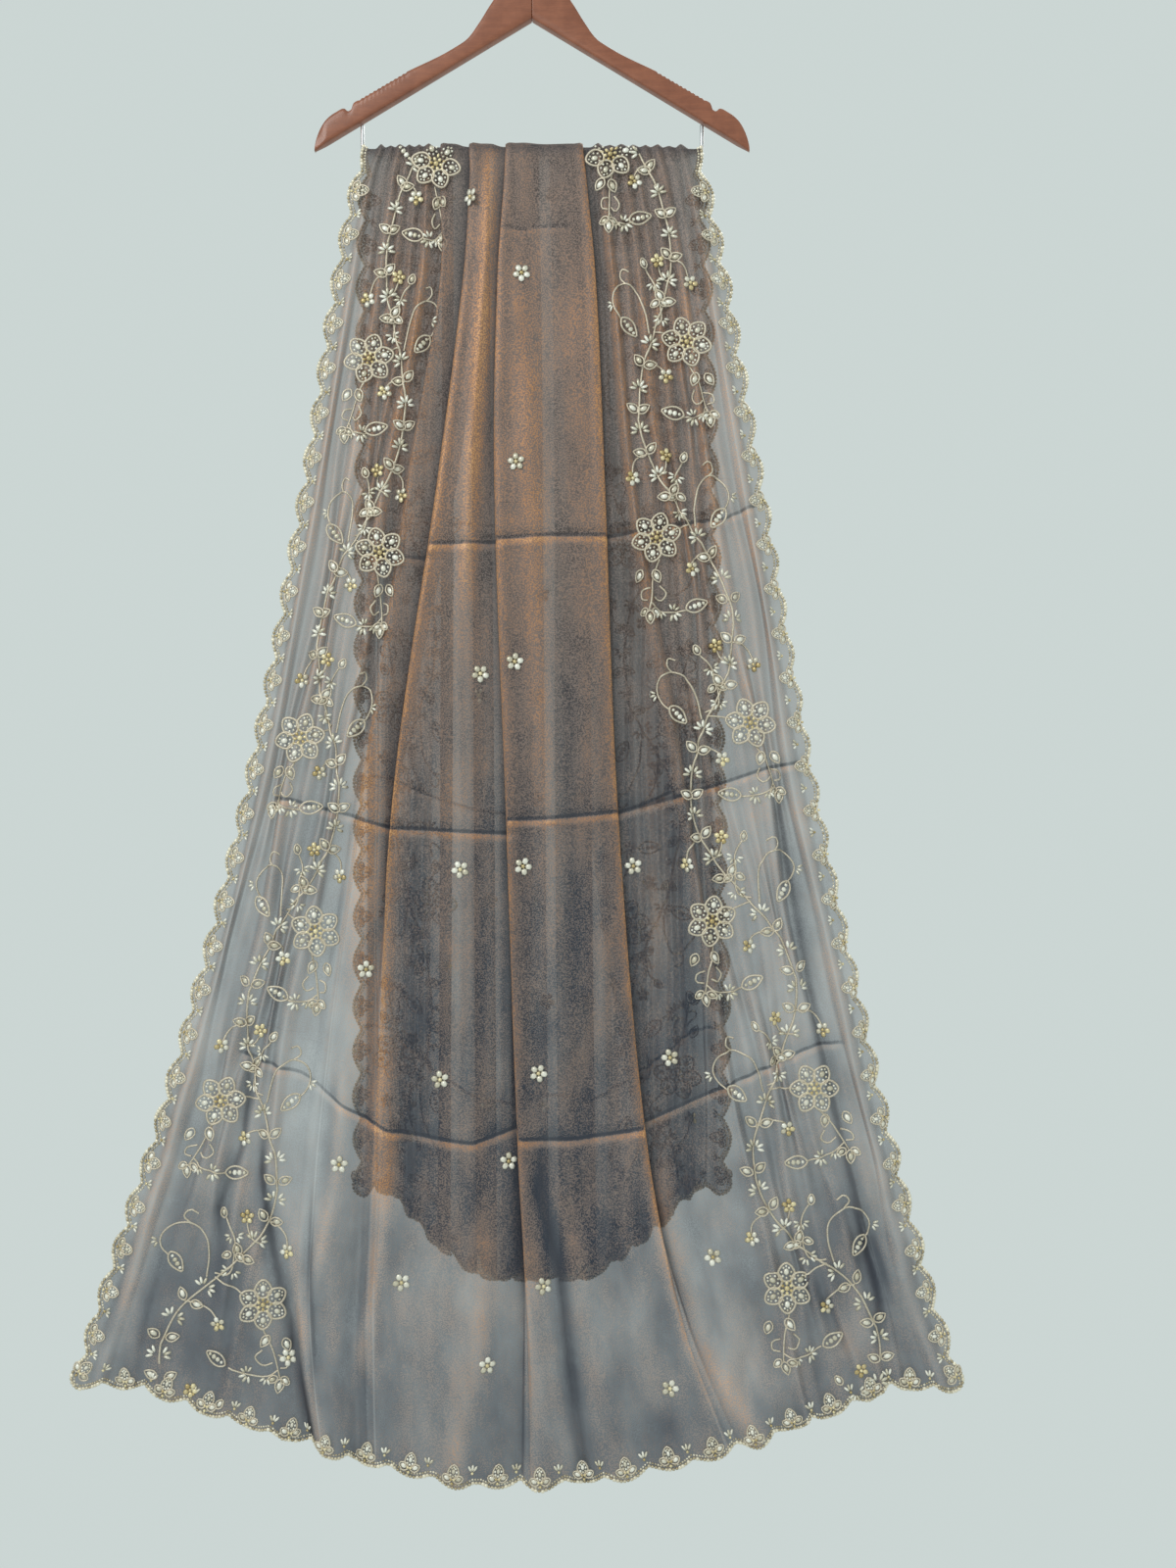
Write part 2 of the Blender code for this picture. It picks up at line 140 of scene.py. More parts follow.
# %% A mesh from arrays
def make_piece(name, points, faces, finish, slot, painted=None):
    """A smooth piece of the object that rides on the one body. painted holds its values at the points."""
    mesh = bpy.data.meshes.new(name)
    mesh.from_pydata(points.tolist(), [], faces.tolist() if hasattr(faces, "tolist") else faces)
    for key, values in (painted or {}).items():
        kind = "FLOAT" if values.ndim == 1 else "FLOAT_VECTOR"
        layer = mesh.attributes.new(key, kind, "POINT")
        layer.data.foreach_set("value" if values.ndim == 1 else "vector", values.astype(np.float32).ravel())
    mesh.shade_smooth()
    mesh.materials.append(finish.material)
    piece = bpy.data.objects.new(name, mesh)
    bpy.context.scene.collection.objects.link(piece)
    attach(piece, "root")
    print(f"{name}: {len(points):,} points, {sum(len(face) - 2 for face in faces):,} triangles")
    return piece


def grid_faces(rows, columns, face_out=True):
    """The four corners of each cell of a grid whose points are stored row by row."""
    corner = np.arange(rows * columns).reshape(rows, columns)
    around = [corner[:-1, :-1], corner[1:, :-1], corner[1:, 1:], corner[:-1, 1:]]
    return np.stack(around if face_out else around[::-1], axis=-1).reshape(-1, 4)


def ring_faces(rings, sides, caps=True):
    """Faces of a tube whose rings of points are stored one after the other, with a cap on each end."""
    ring = np.arange(rings * sides).reshape(rings, sides)
    closed = np.concatenate([ring, ring[:, :1]], axis=1)
    around = [closed[:-1, :-1], closed[:-1, 1:], closed[1:, 1:], closed[1:, :-1]]
    ends = [ring[0][::-1].tolist(), ring[-1].tolist()] if caps else []
    return np.stack(around, axis=-1).reshape(-1, 4).tolist() + ends


# %% Sums on vectors, lines and tables
def unit(vectors):
    return vectors / np.maximum(np.linalg.norm(vectors, axis=-1, keepdims=True), 1e-9)


def smooth_step(low, high, values):
    part = np.clip((values - low) / (high - low), 0.0, 1.0)
    return part * part * (3.0 - 2.0 * part)


def smooth_part(start, end, slope_in, slope_out, span, s):
    """The curve from start to end at the part s of its span, with a slope at each end."""
    return (
        (2 * s**3 - 3 * s**2 + 1) * start
        + (s**3 - 2 * s**2 + s) * span * slope_in
        + (3 * s**2 - 2 * s**3) * end
        + (s**3 - s**2) * span * slope_out
    )


def from_table(values, table):
    """The second column of a table at these values of its first, on straight lines between its rows."""
    return np.interp(values, *zip(*table))


def along(points):
    """How far along a line each of its points lies."""
    return np.concatenate([[0.0], np.cumsum(np.linalg.norm(np.diff(points, axis=0), axis=1))])


def at_lengths(places, lengths, points):
    """The points of a line at any lengths along it, from the lengths of its own points."""
    return np.stack([np.interp(places, lengths, column) for column in np.asarray(points).T], axis=-1)


def normals_of(grid):
    """The way out of a grid of points at each of them."""
    return unit(np.cross(np.gradient(grid, axis=1), np.gradient(grid, axis=0)))


# %% [markdown]
# The stole is one cloth. It is gathered at the bar, so three of its folds lie flat on each
# other and both borders stand in fine gathers, and it fans out towards the hem. A simulation
# of a sheer cloth 2.5 m long would not give these folds at these places. So the cloth is drawn
# as a tailor would pin it: at each level, a line from edge to edge that laps back under each
# fold. The solids are made the same way, from the same tables.

# %% Where the folds lie at each level
CORE = 2.8
BAR_Z = -248.7
RISE_FULL_AT = 0.86
RISE_POWER = 1.6
LEFT_GATHERS = 6
RIGHT_GATHERS = 8
PANEL_FLOOR = 0.8
RAMP_SPREAD = 0.4
TREAD_DROP = 0.1
DROP_BEFORE = 3.0
HOLD_AFTER = 3.0
GATHER_UNEVENNESS = 0.2

Lines = namedtuple("Lines", "share left_edge left_border fold_1 fold_2 fold_3 fold_4 right_border right_edge")
FRONT_LINES = (
    Lines(0.00, -161.0, -98.0, -93.0, -64.0, -27.0, 52.0, 58.0, 161.0),
    Lines(0.02, -171.5, -98.0, -93.0, -63.0, -28.0, 55.0, 61.0, 168.5),
    Lines(0.10, -192.5, -101.0, -93.0, -70.0, -35.0, 65.0, 72.0, 190.5),
    Lines(0.25, -222.5, -134.0, -124.0, -95.0, -38.0, 74.0, 88.0, 223.5),
    Lines(0.50, -281.5, -188.0, -170.0, -140.0, -26.0, 87.0, 140.0, 278.5),
    Lines(0.75, -359.5, -245.0, -213.0, -152.0, -14.0, 115.0, 192.0, 344.5),
    Lines(0.90, -417.5, -270.0, -224.0, -160.0, -3.0, 152.0, 235.0, 389.5),
    Lines(1.00, -454.5, -292.0, -212.0, -158.0, 0.0, 196.0, 262.0, 423.5),
)
BACK_LINES = (
    Lines(0.00, -161.0, -98.0, -93.0, -64.0, -27.0, 52.0, 58.0, 161.0),
    Lines(0.03, -166.0, -98.0, -93.0, -64.0, -27.0, 53.0, 59.0, 167.0),
    Lines(0.20, -169.0, -99.0, -93.0, -63.0, -25.0, 58.0, 65.0, 176.0),
    Lines(0.50, -171.0, -101.0, -95.0, -61.0, -24.0, 60.0, 68.0, 184.0),
    Lines(0.80, -172.0, -104.0, -97.0, -60.0, -22.0, 63.0, 72.0, 191.0),
    Lines(1.00, -173.0, -106.0, -99.0, -59.0, -20.0, 66.0, 76.0, 193.0),
)

# %% How deep the layers, gathers and laps are at each level
Depths = namedtuple("Depths", "share layer gather lap_1 lap_2 lap_3 lap_4")
FRONT_DEPTHS = (
    Depths(0.00, 1.8, 4.5, 12.0, 20.0, 34.0, 35.0),
    Depths(0.02, 1.9, 6.0, 12.0, 20.0, 34.0, 36.0),
    Depths(0.10, 2.5, 9.0, 4.0, 20.0, 34.0, 38.0),
    Depths(0.25, 3.2, 11.0, -3.0, 20.0, 34.0, 38.0),
    Depths(0.50, 4.2, 12.0, -6.0, 4.0, 28.0, 30.0),
    Depths(0.75, 4.8, 11.0, -10.0, -10.0, 8.0, 8.0),
    Depths(0.90, 4.8, 9.0, -10.0, -12.0, -4.0, -5.0),
    Depths(1.00, 4.4, 7.5, -10.0, -12.0, -8.0, -10.0),
)
BACK_DEPTHS = (
    Depths(0.00, 1.8, 4.5, 12.0, 20.0, 34.0, 35.0),
    Depths(0.03, 1.9, 6.0, 12.0, 20.0, 34.0, 35.0),
    Depths(0.20, 2.2, 12.0, 12.0, 20.0, 35.0, 36.0),
    Depths(0.50, 2.7, 16.0, 13.0, 21.0, 36.0, 37.0),
    Depths(0.80, 3.3, 15.5, 13.0, 22.0, 37.0, 38.0),
    Depths(1.00, 3.7, 15.0, 14.0, 22.0, 37.0, 38.0),
)
SoftFold = namedtuple("SoftFold", "left right place at_bar at_front_hem at_back_hem")
SOFT_FOLDS = (
    SoftFold("fold_1", "fold_2", 0.45, 0.0, 9.0, 0.0),
    SoftFold("fold_2", "fold_3", 0.30, 0.0, 4.0, 0.0),
    SoftFold("fold_2", "fold_3", 0.60, 0.0, 13.0, 0.0),
    SoftFold("fold_3", "fold_4", 0.25, 1.2, -7.0, 3.0),
    SoftFold("fold_3", "fold_4", 0.42, -0.6, 4.0, -2.0),
    SoftFold("fold_3", "fold_4", 0.60, -0.6, -5.0, 1.5),
    SoftFold("fold_3", "fold_4", 0.80, 0.0, 3.0, 0.0),
    SoftFold("fold_4", "right_border", 0.50, 0.0, 8.0, 0.0),
)
Fall = namedtuple("Fall", "lines depths drop rise lean side rise_from")
FRONT = Fall(FRONT_LINES, FRONT_DEPTHS, 1343.0, 97.0, 9.0, -1, 0.0)
BACK = Fall(BACK_LINES, BACK_DEPTHS, 1147.0, 90.0, 9.0, 1, 0.22)


# %% A row of a table at any level
def smooth_row(rows, share):
    """The table's row at this share of the drop, on a smooth curve through the table's own rows."""
    i = min(len(rows) - 2, max(0, sum(row.share <= share for row in rows) - 1))
    start, end = rows[i], rows[i + 1]
    before, after = rows[max(0, i - 1)], rows[min(len(rows) - 1, i + 2)]
    span = end.share - start.share
    s = (share - start.share) / span
    values = []
    for k in range(len(start)):
        slope_in = (end[k] - before[k]) / (end.share - before.share)
        slope_out = (after[k] - start[k]) / (after.share - start.share)
        values.append(smooth_part(start[k], end[k], slope_in, slope_out, span, s))
    return type(start)(*values)


def at_levels(rows, shares, name):
    """One named column of a table, at each level."""
    return np.array([getattr(smooth_row(rows, share), name) for share in shares])[:, None]


# %% One level of the cloth, from edge to edge
def curve_between(points):
    """Two points for each control point between the ends, on the smooth curve that they draw."""
    curve = []
    for before, here, after in zip(points, points[1:], points[2:]):
        middle = tuple((a + b) / 2 for a, b in zip(before, here))
        near = tuple((a + 6 * b + c) / 8 for a, b, c in zip(before, here, after))
        curve += [middle, near]
    curve.append(tuple((a + b) / 2 for a, b in zip(points[-2], points[-1])))
    return curve


def gathers(count, start, end, start_depth, end_depth, depth):
    """Control points of the fine gathers of a border. Each end is a hollow."""
    points = []
    steps = 2 * count + 1
    for i in range(steps):
        part = (i + 0.5 + GATHER_UNEVENNESS * math.sin(2.4 * i)) / steps
        level = start_depth + (end_depth - start_depth) * part
        crest = depth * (1.0 + 0.35 * math.sin(1.7 * i + 0.6)) if i % 2 else 0.0
        points.append((start + (end - start) * part, level + crest))
    return points


def turn_back(x, lap, layer, facing):
    """Six points where the cloth turns back under a fold's edge, then runs on over it."""
    round_off = min(layer / 2, max(0.0, lap) / 4)
    spread = RAMP_SPREAD * max(0.0, -lap)
    points = []
    for turn, centre, side in ((0, x - facing * lap, -1), (1, x, 1)):
        for step in (-1, 0, 1):
            inset = round_off * abs(step) * side + spread * step
            level = PANEL_FLOOR + turn + 0.5 + 0.5 * step - (TREAD_DROP if (turn, step) == (0, 1) else 0.0)
            points.append((centre - facing * inset, layer * level))
    return points if facing < 0 else points[::-1]


def soft_points(fall, share, left, right, start, end):
    """Control points of a panel's own soft folds, between the folds on either side of it."""
    points = []
    for fold in SOFT_FOLDS:
        if (fold.left, fold.right) == (left, right):
            x, depth = (a + (b - a) * fold.place for a, b in zip(start, end))
            at_hem = fold.at_front_hem if fall.side < 0 else fold.at_back_hem
            points.append((x, depth + fold.at_bar * (1 - share) + at_hem * share**2))
    return points


def section_points(fall, share):
    """Points (across, outward depth) of the level section at this share of the drop, from left to right."""
    lines = smooth_row(fall.lines, share)
    depths = smooth_row(fall.depths, share)
    layer = depths.layer
    floor = PANEL_FLOOR * layer
    folds = (
        turn_back(lines.fold_1, depths.lap_1, layer, -1),
        turn_back(lines.fold_2, depths.lap_2, layer, -1),
        turn_back(lines.fold_3, depths.lap_3, layer, -1),
        turn_back(lines.fold_4, depths.lap_4, layer, 1),
    )
    left_end, right_end = (lines.left_edge, 0.0), (lines.right_edge, 0.0)
    left_gathers = gathers(LEFT_GATHERS, lines.left_edge, lines.left_border, 0.0, floor, depths.gather)
    right_gathers = gathers(RIGHT_GATHERS, lines.right_border, lines.right_edge, floor, 0.0, depths.gather)
    points = [left_end] + curve_between([left_end] + left_gathers + [folds[0][0]]) + folds[0]
    for i in (1, 2):
        start, end = folds[i - 1][-1], folds[i][0]
        drop = (min(point[0] for point in folds[i]) - DROP_BEFORE, floor + 0.1 * layer)
        crest = (max(point[0] for point in folds[i - 1]) + HOLD_AFTER, start[1])
        soft = soft_points(fall, share, f"fold_{i}", f"fold_{i + 1}", crest, drop)
        points += curve_between([start, crest] + soft + [drop, end]) + folds[i]
    start, end = folds[2][-1], folds[3][0]
    soft = soft_points(fall, share, "fold_3", "fold_4", start, end)
    points += curve_between([start] + soft + [end]) + folds[3]
    drop = (max(point[0] for point in folds[3]) + DROP_BEFORE, floor)
    soft = soft_points(fall, share, "fold_4", "right_border", drop, (lines.right_border, floor))
    return points + curve_between([folds[3][-1], drop] + soft + right_gathers + [right_end]) + [right_end]


# %% Rows and columns fine enough for soft folds
FINE_COLUMNS = 3
ROWS_A_SCALLOP = 8
SCALLOP_PITCH = 46.7


def refine(lines, steps):
    """More points on each line, on the smooth curve through its own points. lines has a row for each line."""
    span = np.linalg.norm(np.diff(lines, axis=1), axis=-1, keepdims=True) + 1e-6
    slope = np.diff(lines, axis=1) / span
    inner = (span[:, 1:] * slope[:, :-1] + span[:, :-1] * slope[:, 1:]) / (span[:, 1:] + span[:, :-1])
    slopes = np.concatenate([slope[:, :1], inner, slope[:, -1:]], axis=1)
    parts = [smooth_part(lines[:, :-1], lines[:, 1:], slopes[:, :-1], slopes[:, 1:], span, t)
             for t in np.arange(steps) / steps]
    fine = np.stack(parts, axis=2).reshape(len(lines), -1, lines.shape[-1])
    return np.concatenate([fine, lines[:, -1:]], axis=1)


def levels_of(fall, bands):
    """The shares of a fall's rows. They divide its left edge evenly, so a row falls on each scallop's cusp.

    bands are the levels of the packet's creases, where the rows are twice as close.
    """
    shares = np.linspace(0.0, 1.0, 400)
    edge = at_levels(fall.lines, shares, "left_edge")[:, 0]
    height = fall.drop * shares - fall.rise * shares**2
    lengths = along(np.stack([edge, height], axis=1))
    scallops = round(lengths[-1] / SCALLOP_PITCH)
    rows = np.interp(np.linspace(0.0, lengths[-1], scallops * ROWS_A_SCALLOP + 1), lengths, shares)
    middles = (rows[:-1] + rows[1:]) / 2
    close = [any(low < share * fall.drop < high for low, high in bands) for share in middles]
    return np.sort(np.concatenate([rows, middles[close]]))


print("rows of the front before any are set closer:", len(levels_of(FRONT, ())))

# %% [markdown]
# The stole was folded flat for a long time, so it keeps level creases where the packet was
# folded: a dark hollow with a lighter ridge under it, stepping from fold to fold. It also has
# a few long soft folds that start half way down, and it is slightly crumpled all over. All of
# these press through every layer at one place, so they are one relief that depends on the
# place on the wall, and lapped layers can't cut into each other.

# %% Creases of the packet and long folds
Crease = namedtuple("Crease", "depth half_width panels places")
LEFT_SIDE = (0, 45.5)
SECOND = (45.5, 60.5)
LEFT_PANELS = (0, 60.5)
TOP = (60.5, 71.6)
RIGHT_SIDE = (71.6, 117)
FRONT_CREASES = (
    Crease(0.5, 3.5, TOP, ((-28, 80), (-8, 83))),
    Crease(0.5, 3.5, TOP, ((2, 80), (32, 79))),
    Crease(1.0, 4.5, LEFT_SIDE, ((-163, 420), (-95, 420))),
    Crease(1.2, 4.5, SECOND, ((-110, 405), (-30, 400))),
    Crease(1.3, 4.5, TOP, ((-40, 397), (20, 393), (80, 395))),
    Crease(1.2, 5.0, RIGHT_SIDE, ((70, 397), (122, 390), (197, 383), (237, 365))),
    Crease(1.6, 5.0, LEFT_PANELS, ((-253, 685), (-181, 693), (-143, 700), (-103, 697), (-16, 695))),
    Crease(1.8, 5.0, TOP, ((-28, 681), (30, 679), (95, 677))),
    Crease(1.5, 5.5, RIGHT_SIDE, ((80, 680), (157, 667), (197, 660), (272, 645))),
    Crease(1.7, 5.5, LEFT_PANELS,
           ((-288, 965), (-233, 970), (-181, 995), (-143, 1008), (-58, 1010), (-10, 990))),
    Crease(2.0, 5.5, TOP, ((-18, 1002), (50, 1004), (122, 1002))),
    Crease(1.6, 6.0, RIGHT_SIDE, ((104, 1000), (202, 975), (257, 963), (307, 955))),
)
BACK_CREASES = (
    Crease(0.5, 4.0, TOP, ((-60, 82), (40, 80))),
    Crease(1.2, 5.0, LEFT_PANELS, ((-160, 372), (-60, 380), (-15, 378))),
    Crease(1.4, 5.0, TOP, ((-40, 386), (60, 388))),
    Crease(1.4, 5.0, RIGHT_SIDE, ((50, 384), (170, 376))),
    Crease(1.6, 5.5, LEFT_PANELS, ((-165, 668), (-12, 676))),
    Crease(1.7, 5.5, TOP, ((-30, 684), (70, 690))),
    Crease(1.7, 5.5, RIGHT_SIDE, ((50, 686), (180, 674))),
    Crease(1.8, 5.5, LEFT_PANELS, ((-165, 958), (-60, 972), (-10, 974))),
    Crease(1.8, 5.5, TOP, ((-30, 966), (75, 968))),
    Crease(1.8, 5.5, RIGHT_SIDE, ((55, 974), (185, 960))),
)
LongFold = namedtuple("LongFold", "height half_width places")
FRONT_LONG_FOLDS = (
    LongFold(-5.0, 11.0, ((1085, -272), (1160, -262), (1343, -222))),
    LongFold(-3.5, 9.0, ((985, -286), (1060, -292), (1135, -316))),
    LongFold(-3.0, 8.0, ((1135, -222), (1190, -221), (1245, -219))),
    LongFold(4.0, 8.0, ((990, -190), (1080, -198), (1180, -220))),
    LongFold(4.0, 9.0, ((1040, -140), (1160, -155), (1270, -178))),
    LongFold(5.0, 9.0, ((1190, -236), (1280, -226), (1343, -214))),
    LongFold(2.6, 12.0, ((1070, -40), (1171, -49), (1325, -76))),
    LongFold(-4.5, 10.0, ((1060, 10), (1150, 30), (1343, 52))),
    LongFold(5.5, 13.0, ((1080, 132), (1229, 165), (1343, 222))),
    LongFold(3.0, 14.0, ((250, -2), (500, 6), (800, 22))),
    LongFold(6.5, 24.0, ((660, -162), (820, -160), (1050, -160))),
    LongFold(5.0, 10.0, ((20, -42), (200, -50), (430, -66))),
    LongFold(1.6, 10.0, ((720, -36), (900, -32), (1080, -24))),
    LongFold(-4.0, 12.0, ((700, 250), (950, 290), (1250, 350))),
    LongFold(3.5, 12.0, ((800, -320), (1000, -350), (1250, -405))),
)
BACK_LONG_FOLDS = (
    LongFold(3.0, 13.0, ((300, -5), (700, 4), (1147, 12))),
    LongFold(-3.0, 12.0, ((400, 34), (800, 40), (1147, 44))),
    LongFold(3.5, 13.0, ((500, 120), (900, 128), (1147, 132))),
    LongFold(3.0, 12.0, ((250, -130), (700, -134), (1147, -138))),
)


def end_fade(values, table, fade):
    """1 along a line that is given by a table, and 0 beyond its ends."""
    first, last = table[0][0], table[-1][0]
    return smooth_step(first - fade, first, values) * smooth_step(last + fade, last, values)


def from_crease(crease, x, v):
    """How far below a crease each place lies, in half widths, and how much of the crease is there."""
    return (v - from_table(x, crease.places)) / crease.half_width, end_fade(x, crease.places, 10.0)


def from_long_fold(fold, x, v, fade):
    """How far to the right of a long fold each place lies, in half widths, and how high the fold is there."""
    aside = (x - from_table(v, fold.places)) / fold.half_width
    return aside, fold.height * end_fade(v, fold.places, fade)


def relief(x, v, creases, long_folds, wander, fullness):
    """Outward height of the creases, long folds and crumple at each place, in millimetres."""
    height = np.zeros_like(x)
    for crease in creases:
        below, there = from_crease(crease, x, v)
        height -= crease.depth * there * (np.exp(-(below**2)) - 0.45 * np.exp(-((below - 1.7) ** 2)))
    for fold in long_folds:
        aside, high = from_long_fold(fold, x, v, 90.0)
        height += high * np.exp(-(aside**2))
    crumple = np.zeros_like(x)
    for i in range(14):
        length = wander.uniform(22.0, 95.0)
        turn = wander.normal(0.0, 0.45) if i % 2 else wander.uniform(0.6, 2.5)
        phase = wander.uniform(0.0, 6.28)
        place = x * math.cos(turn) + 0.6 * v * math.sin(turn)
        crumple += (length / 95.0) ** 0.6 * np.sin(2 * math.pi / length * place + phase)
    low = smooth_step(500.0, 1200.0, v)
    height += crumple * (0.16 + 0.75 * low * smooth_step(60.0, 260.0, np.abs(x)) + 0.24 * low)
    ripples = fullness * np.sin(2 * math.pi * x / 21.0 + 0.9 * np.sin(v / 160.0))
    ripples = ripples * smooth_step(60.0, 300.0, v)
    return (height + ripples) * smooth_step(10.0, 70.0, v)


# %% The cloth in space
GATHER_WANDER = 3.2
# The columns at which the gathers of each border start, are full, are still full, and end.
GATHERED = ((2.0, 8.0, 22.0, 29.0), (82.0, 90.0, 109.0, 115.0))


def hang(fall, shares, sections, extra):
    """Points in metres for the rows of a fall. extra is the relief at each point."""
    share = np.asarray(shares)[:, None]
    left, right = (at_levels(fall.lines, shares, name) for name in ("left_edge", "right_edge"))
    x, depth = sections[..., 0], sections[..., 1]
    aside = np.abs(x / np.where(x > 0, right, left))
    aside = np.clip((aside - fall.rise_from) / (RISE_FULL_AT - fall.rise_from), 0.0, 1.0)
    z = BAR_Z - fall.drop * share + fall.rise * share**2 * aside**RISE_POWER
    y = fall.side * (CORE + depth + extra + fall.lean * share)
    return np.stack([x, y, z], axis=-1) * MM


def over_bar(turns):
    """Rows of the fold over the bar, from the front to the back."""
    section = refine(np.array([section_points(FRONT, 0.0)]), FINE_COLUMNS)[0]
    radius = CORE + section[:, 1]
    angle = math.pi * np.asarray(turns)[:, None]
    x = np.broadcast_to(section[:, 0], (len(turns), len(section)))
    return np.stack([x, -radius * np.cos(angle), BAR_Z + radius * np.sin(angle)], axis=-1) * MM


def uneven(sections, v, fall):
    """The same sections, with the gathers of both borders wandering aside and swelling unevenly."""
    column = np.arange(sections.shape[1])[None] / FINE_COLUMNS
    border = sum(smooth_step(start, full, column) * smooth_step(end, still, column)
                 for start, full, still, end in GATHERED)
    border = border * smooth_step(120.0, 420.0, v)
    swell = 0.96 + 0.24 * np.sin(v / 71.0 + 0.55 * column) * np.sin(v / 113.0 - 0.83 * column + 1.0)
    if fall.side < 0:
        swell -= 0.35 * smooth_step(850.0, 1250.0, v)
    wander = np.sin(v / 88.0 + 0.31 * column) + 0.7 * np.sin(v / 47.0 - 0.44 * column + 2.0)
    moved_x = sections[..., 0] + border * GATHER_WANDER * wander * (1.0 if fall.side < 0 else 0.4)
    return np.stack([moved_x, sections[..., 1] * (1 + border * (swell - 1))], axis=-1)


Draped = namedtuple("Draped", "fall creases long_folds shares sections v points")


def drape(fall, creases, long_folds, bands, seed, fullness):
    """A fall in space. Its rows are closer in the bands, from one depth under the bar to another."""
    shares = levels_of(fall, bands)
    sections = refine(np.array([section_points(fall, share) for share in shares]), FINE_COLUMNS)
    v = np.broadcast_to(np.asarray(shares)[:, None] * fall.drop, sections.shape[:2])
    sections = uneven(sections, v, fall)
    extra = relief(sections[..., 0], v, creases, long_folds, np.random.default_rng(seed), fullness)
    return Draped(fall, creases, long_folds, shares, sections, v, hang(fall, shares, sections, extra))


front = drape(FRONT, FRONT_CREASES, FRONT_LONG_FOLDS, ((360, 428), (640, 706), (948, 1016)), 5, 0.0)
back = drape(BACK, BACK_CREASES, BACK_LONG_FOLDS, ((370, 392), (664, 696), (954, 978)), 8, 1.7)
print("rows and columns in front", front.points.shape[:2], "and behind", back.points.shape[:2])

# %% [markdown]
# The two long sides and the hem are cut in scallops. The cloth of a scallop is the same cloth,
# so the grid gets two more columns at each side and two more rows under the hem, pushed out as
# far as the scallop reaches there.

# %% Scallops
BRAID_WIDTH = 2.5
SCALLOP_DEPTH = 9.0
LOBE_PARTS = (0.5, 1.0)
LOBES = len(LOBE_PARTS)


def lobes(lengths):
    """How far the scallops reach at each place along an edge. Both ends of the hem are in mid scallop."""
    scallops = round(lengths[-1] / MM / SCALLOP_PITCH)
    from_corner = scallops * (1 - lengths / lengths[-1])
    return (BRAID_WIDTH + SCALLOP_DEPTH * np.abs(np.cos(math.pi * from_corner))) * MM


def side_reach(edge, side):
    """The way out of the cloth at each point of a side edge."""
    down = np.gradient(edge, axis=0)
    return unit(np.stack([-side * down[:, 2], 0 * down[:, 0], side * down[:, 0]], axis=1))


def with_scallops(points):
    """The fall's grid with its scallops, two more columns at each side and two more rows at the hem."""
    edges, outs = [], []
    for edge, side in ((points[:, 0], -1), (points[:, -1], 1)):
        edges.append(edge)
        outs.append(side_reach(edge, side) * lobes(along(edge))[:, None])
    hem = points[-1]
    reach = unit(np.gradient(points, axis=0)[-1])
    reach[:, 1] *= 0.3
    hem_out = unit(reach) * lobes(along(hem))[:, None]
    rows, columns = points.shape[:2]
    grid = np.zeros((rows + LOBES, columns + 2 * LOBES, 3))
    grid[:rows, LOBES:-LOBES] = points
    for k, part in enumerate(LOBE_PARTS):
        grid[:rows, LOBES - 1 - k] = edges[0] + outs[0] * part
        grid[:rows, columns + LOBES + k] = edges[1] + outs[1] * part
        grid[rows + k, LOBES:-LOBES] = hem + hem_out * part
        for j, across in enumerate(LOBE_PARTS):
            round_across = across * math.sqrt(1 - part**2 / 2)
            round_down = part * math.sqrt(1 - across**2 / 2)
            for side, place, corner in ((0, LOBES - 1 - j, 0), (1, columns + LOBES + j, -1)):
                out = outs[side][-1] * round_across + hem_out[corner] * round_down
                grid[rows + k, place] = hem[corner] + out
    return grid


front_grid = with_scallops(front.points)
back_grid = with_scallops(back.points)
print("with scallops:", front_grid.shape[:2], "and", back_grid.shape[:2])

# %% [markdown]
# Shot organza has navy threads one way and copper threads the other. A slope that faces the
# light shows the copper, and a hollow shows the navy, so that light and shade are painted into
# the colour: a painted sheen on crests, steep slopes and fold edges, and painted shade in hollows.
# A shader can't know where a fold's crest is, so numpy works that out from the grid and paints it
# on the points: how much copper and painted sheen, how dark a fold's own painted shadow is, and
# how much the cloth covers. Where it stands at a slant, as in the gathers, light passes more
# thread, so it covers more.

# %% Copper with painted sheen, cover and soft patches
PAINTED = ("copper", "shadow", "cover", "crease_below", "crease_there", "cool")
# The first value of a pair is the depth under the bar in a table down the cloth, and the section's own column
# in a table across it.
COPPER_ACROSS = ((5, 0.45), (9, 0.65), (27, 0.65), (34, 0.45), (41, 0.5), (46, 0.75), (56, 0.85), (61, 0.76),
                 (71, 0.72), (77, 0.40), (81, 0.42), (84, 0.65), (108, 0.65), (112, 0.45))
COPPER_DOWN = ((0, 0.55), (70, 0.66), (170, 0.92), (380, 0.84), (560, 0.56), (760, 0.42), (900, 0.28),
               (1343, 0.12))
COVER_ACROSS = ((0, 0.82), (6, 0.90), (9, 1.06), (24, 1.06), (30, 0.96), (79, 0.96), (87, 1.06), (108, 1.06),
                (111, 0.90), (117, 0.82))
# Low on the cloth the cover rises towards the hem, as painted shade that makes the lower cloth darker.
COVER_DOWN = ((0, 0.66), (300, 0.60), (750, 0.565), (950, 0.595), (1080, 0.68), (1230, 0.77), (1343, 0.83))
PANEL_COVER = ((33, 0.0), (36, 0.2), (46, 0.26), (60, 0.26), (62, 0.36), (71, 0.36), (73, 0.15), (80, 0.0))
PANEL_COVER_DOWN = ((300, 1.0), (700, 0.6), (930, 0.65), (1080, 1.25), (1160, 1.25), (1230, 1.0))
BACK_COVER = ((6, 0.0), (10, 0.45), (32, 0.45), (36, 0.0), (78, 0.0), (82, 0.5), (106, 0.5), (111, 0.0))
COVER_MOST = 0.95
LAP_COVER = 0.10
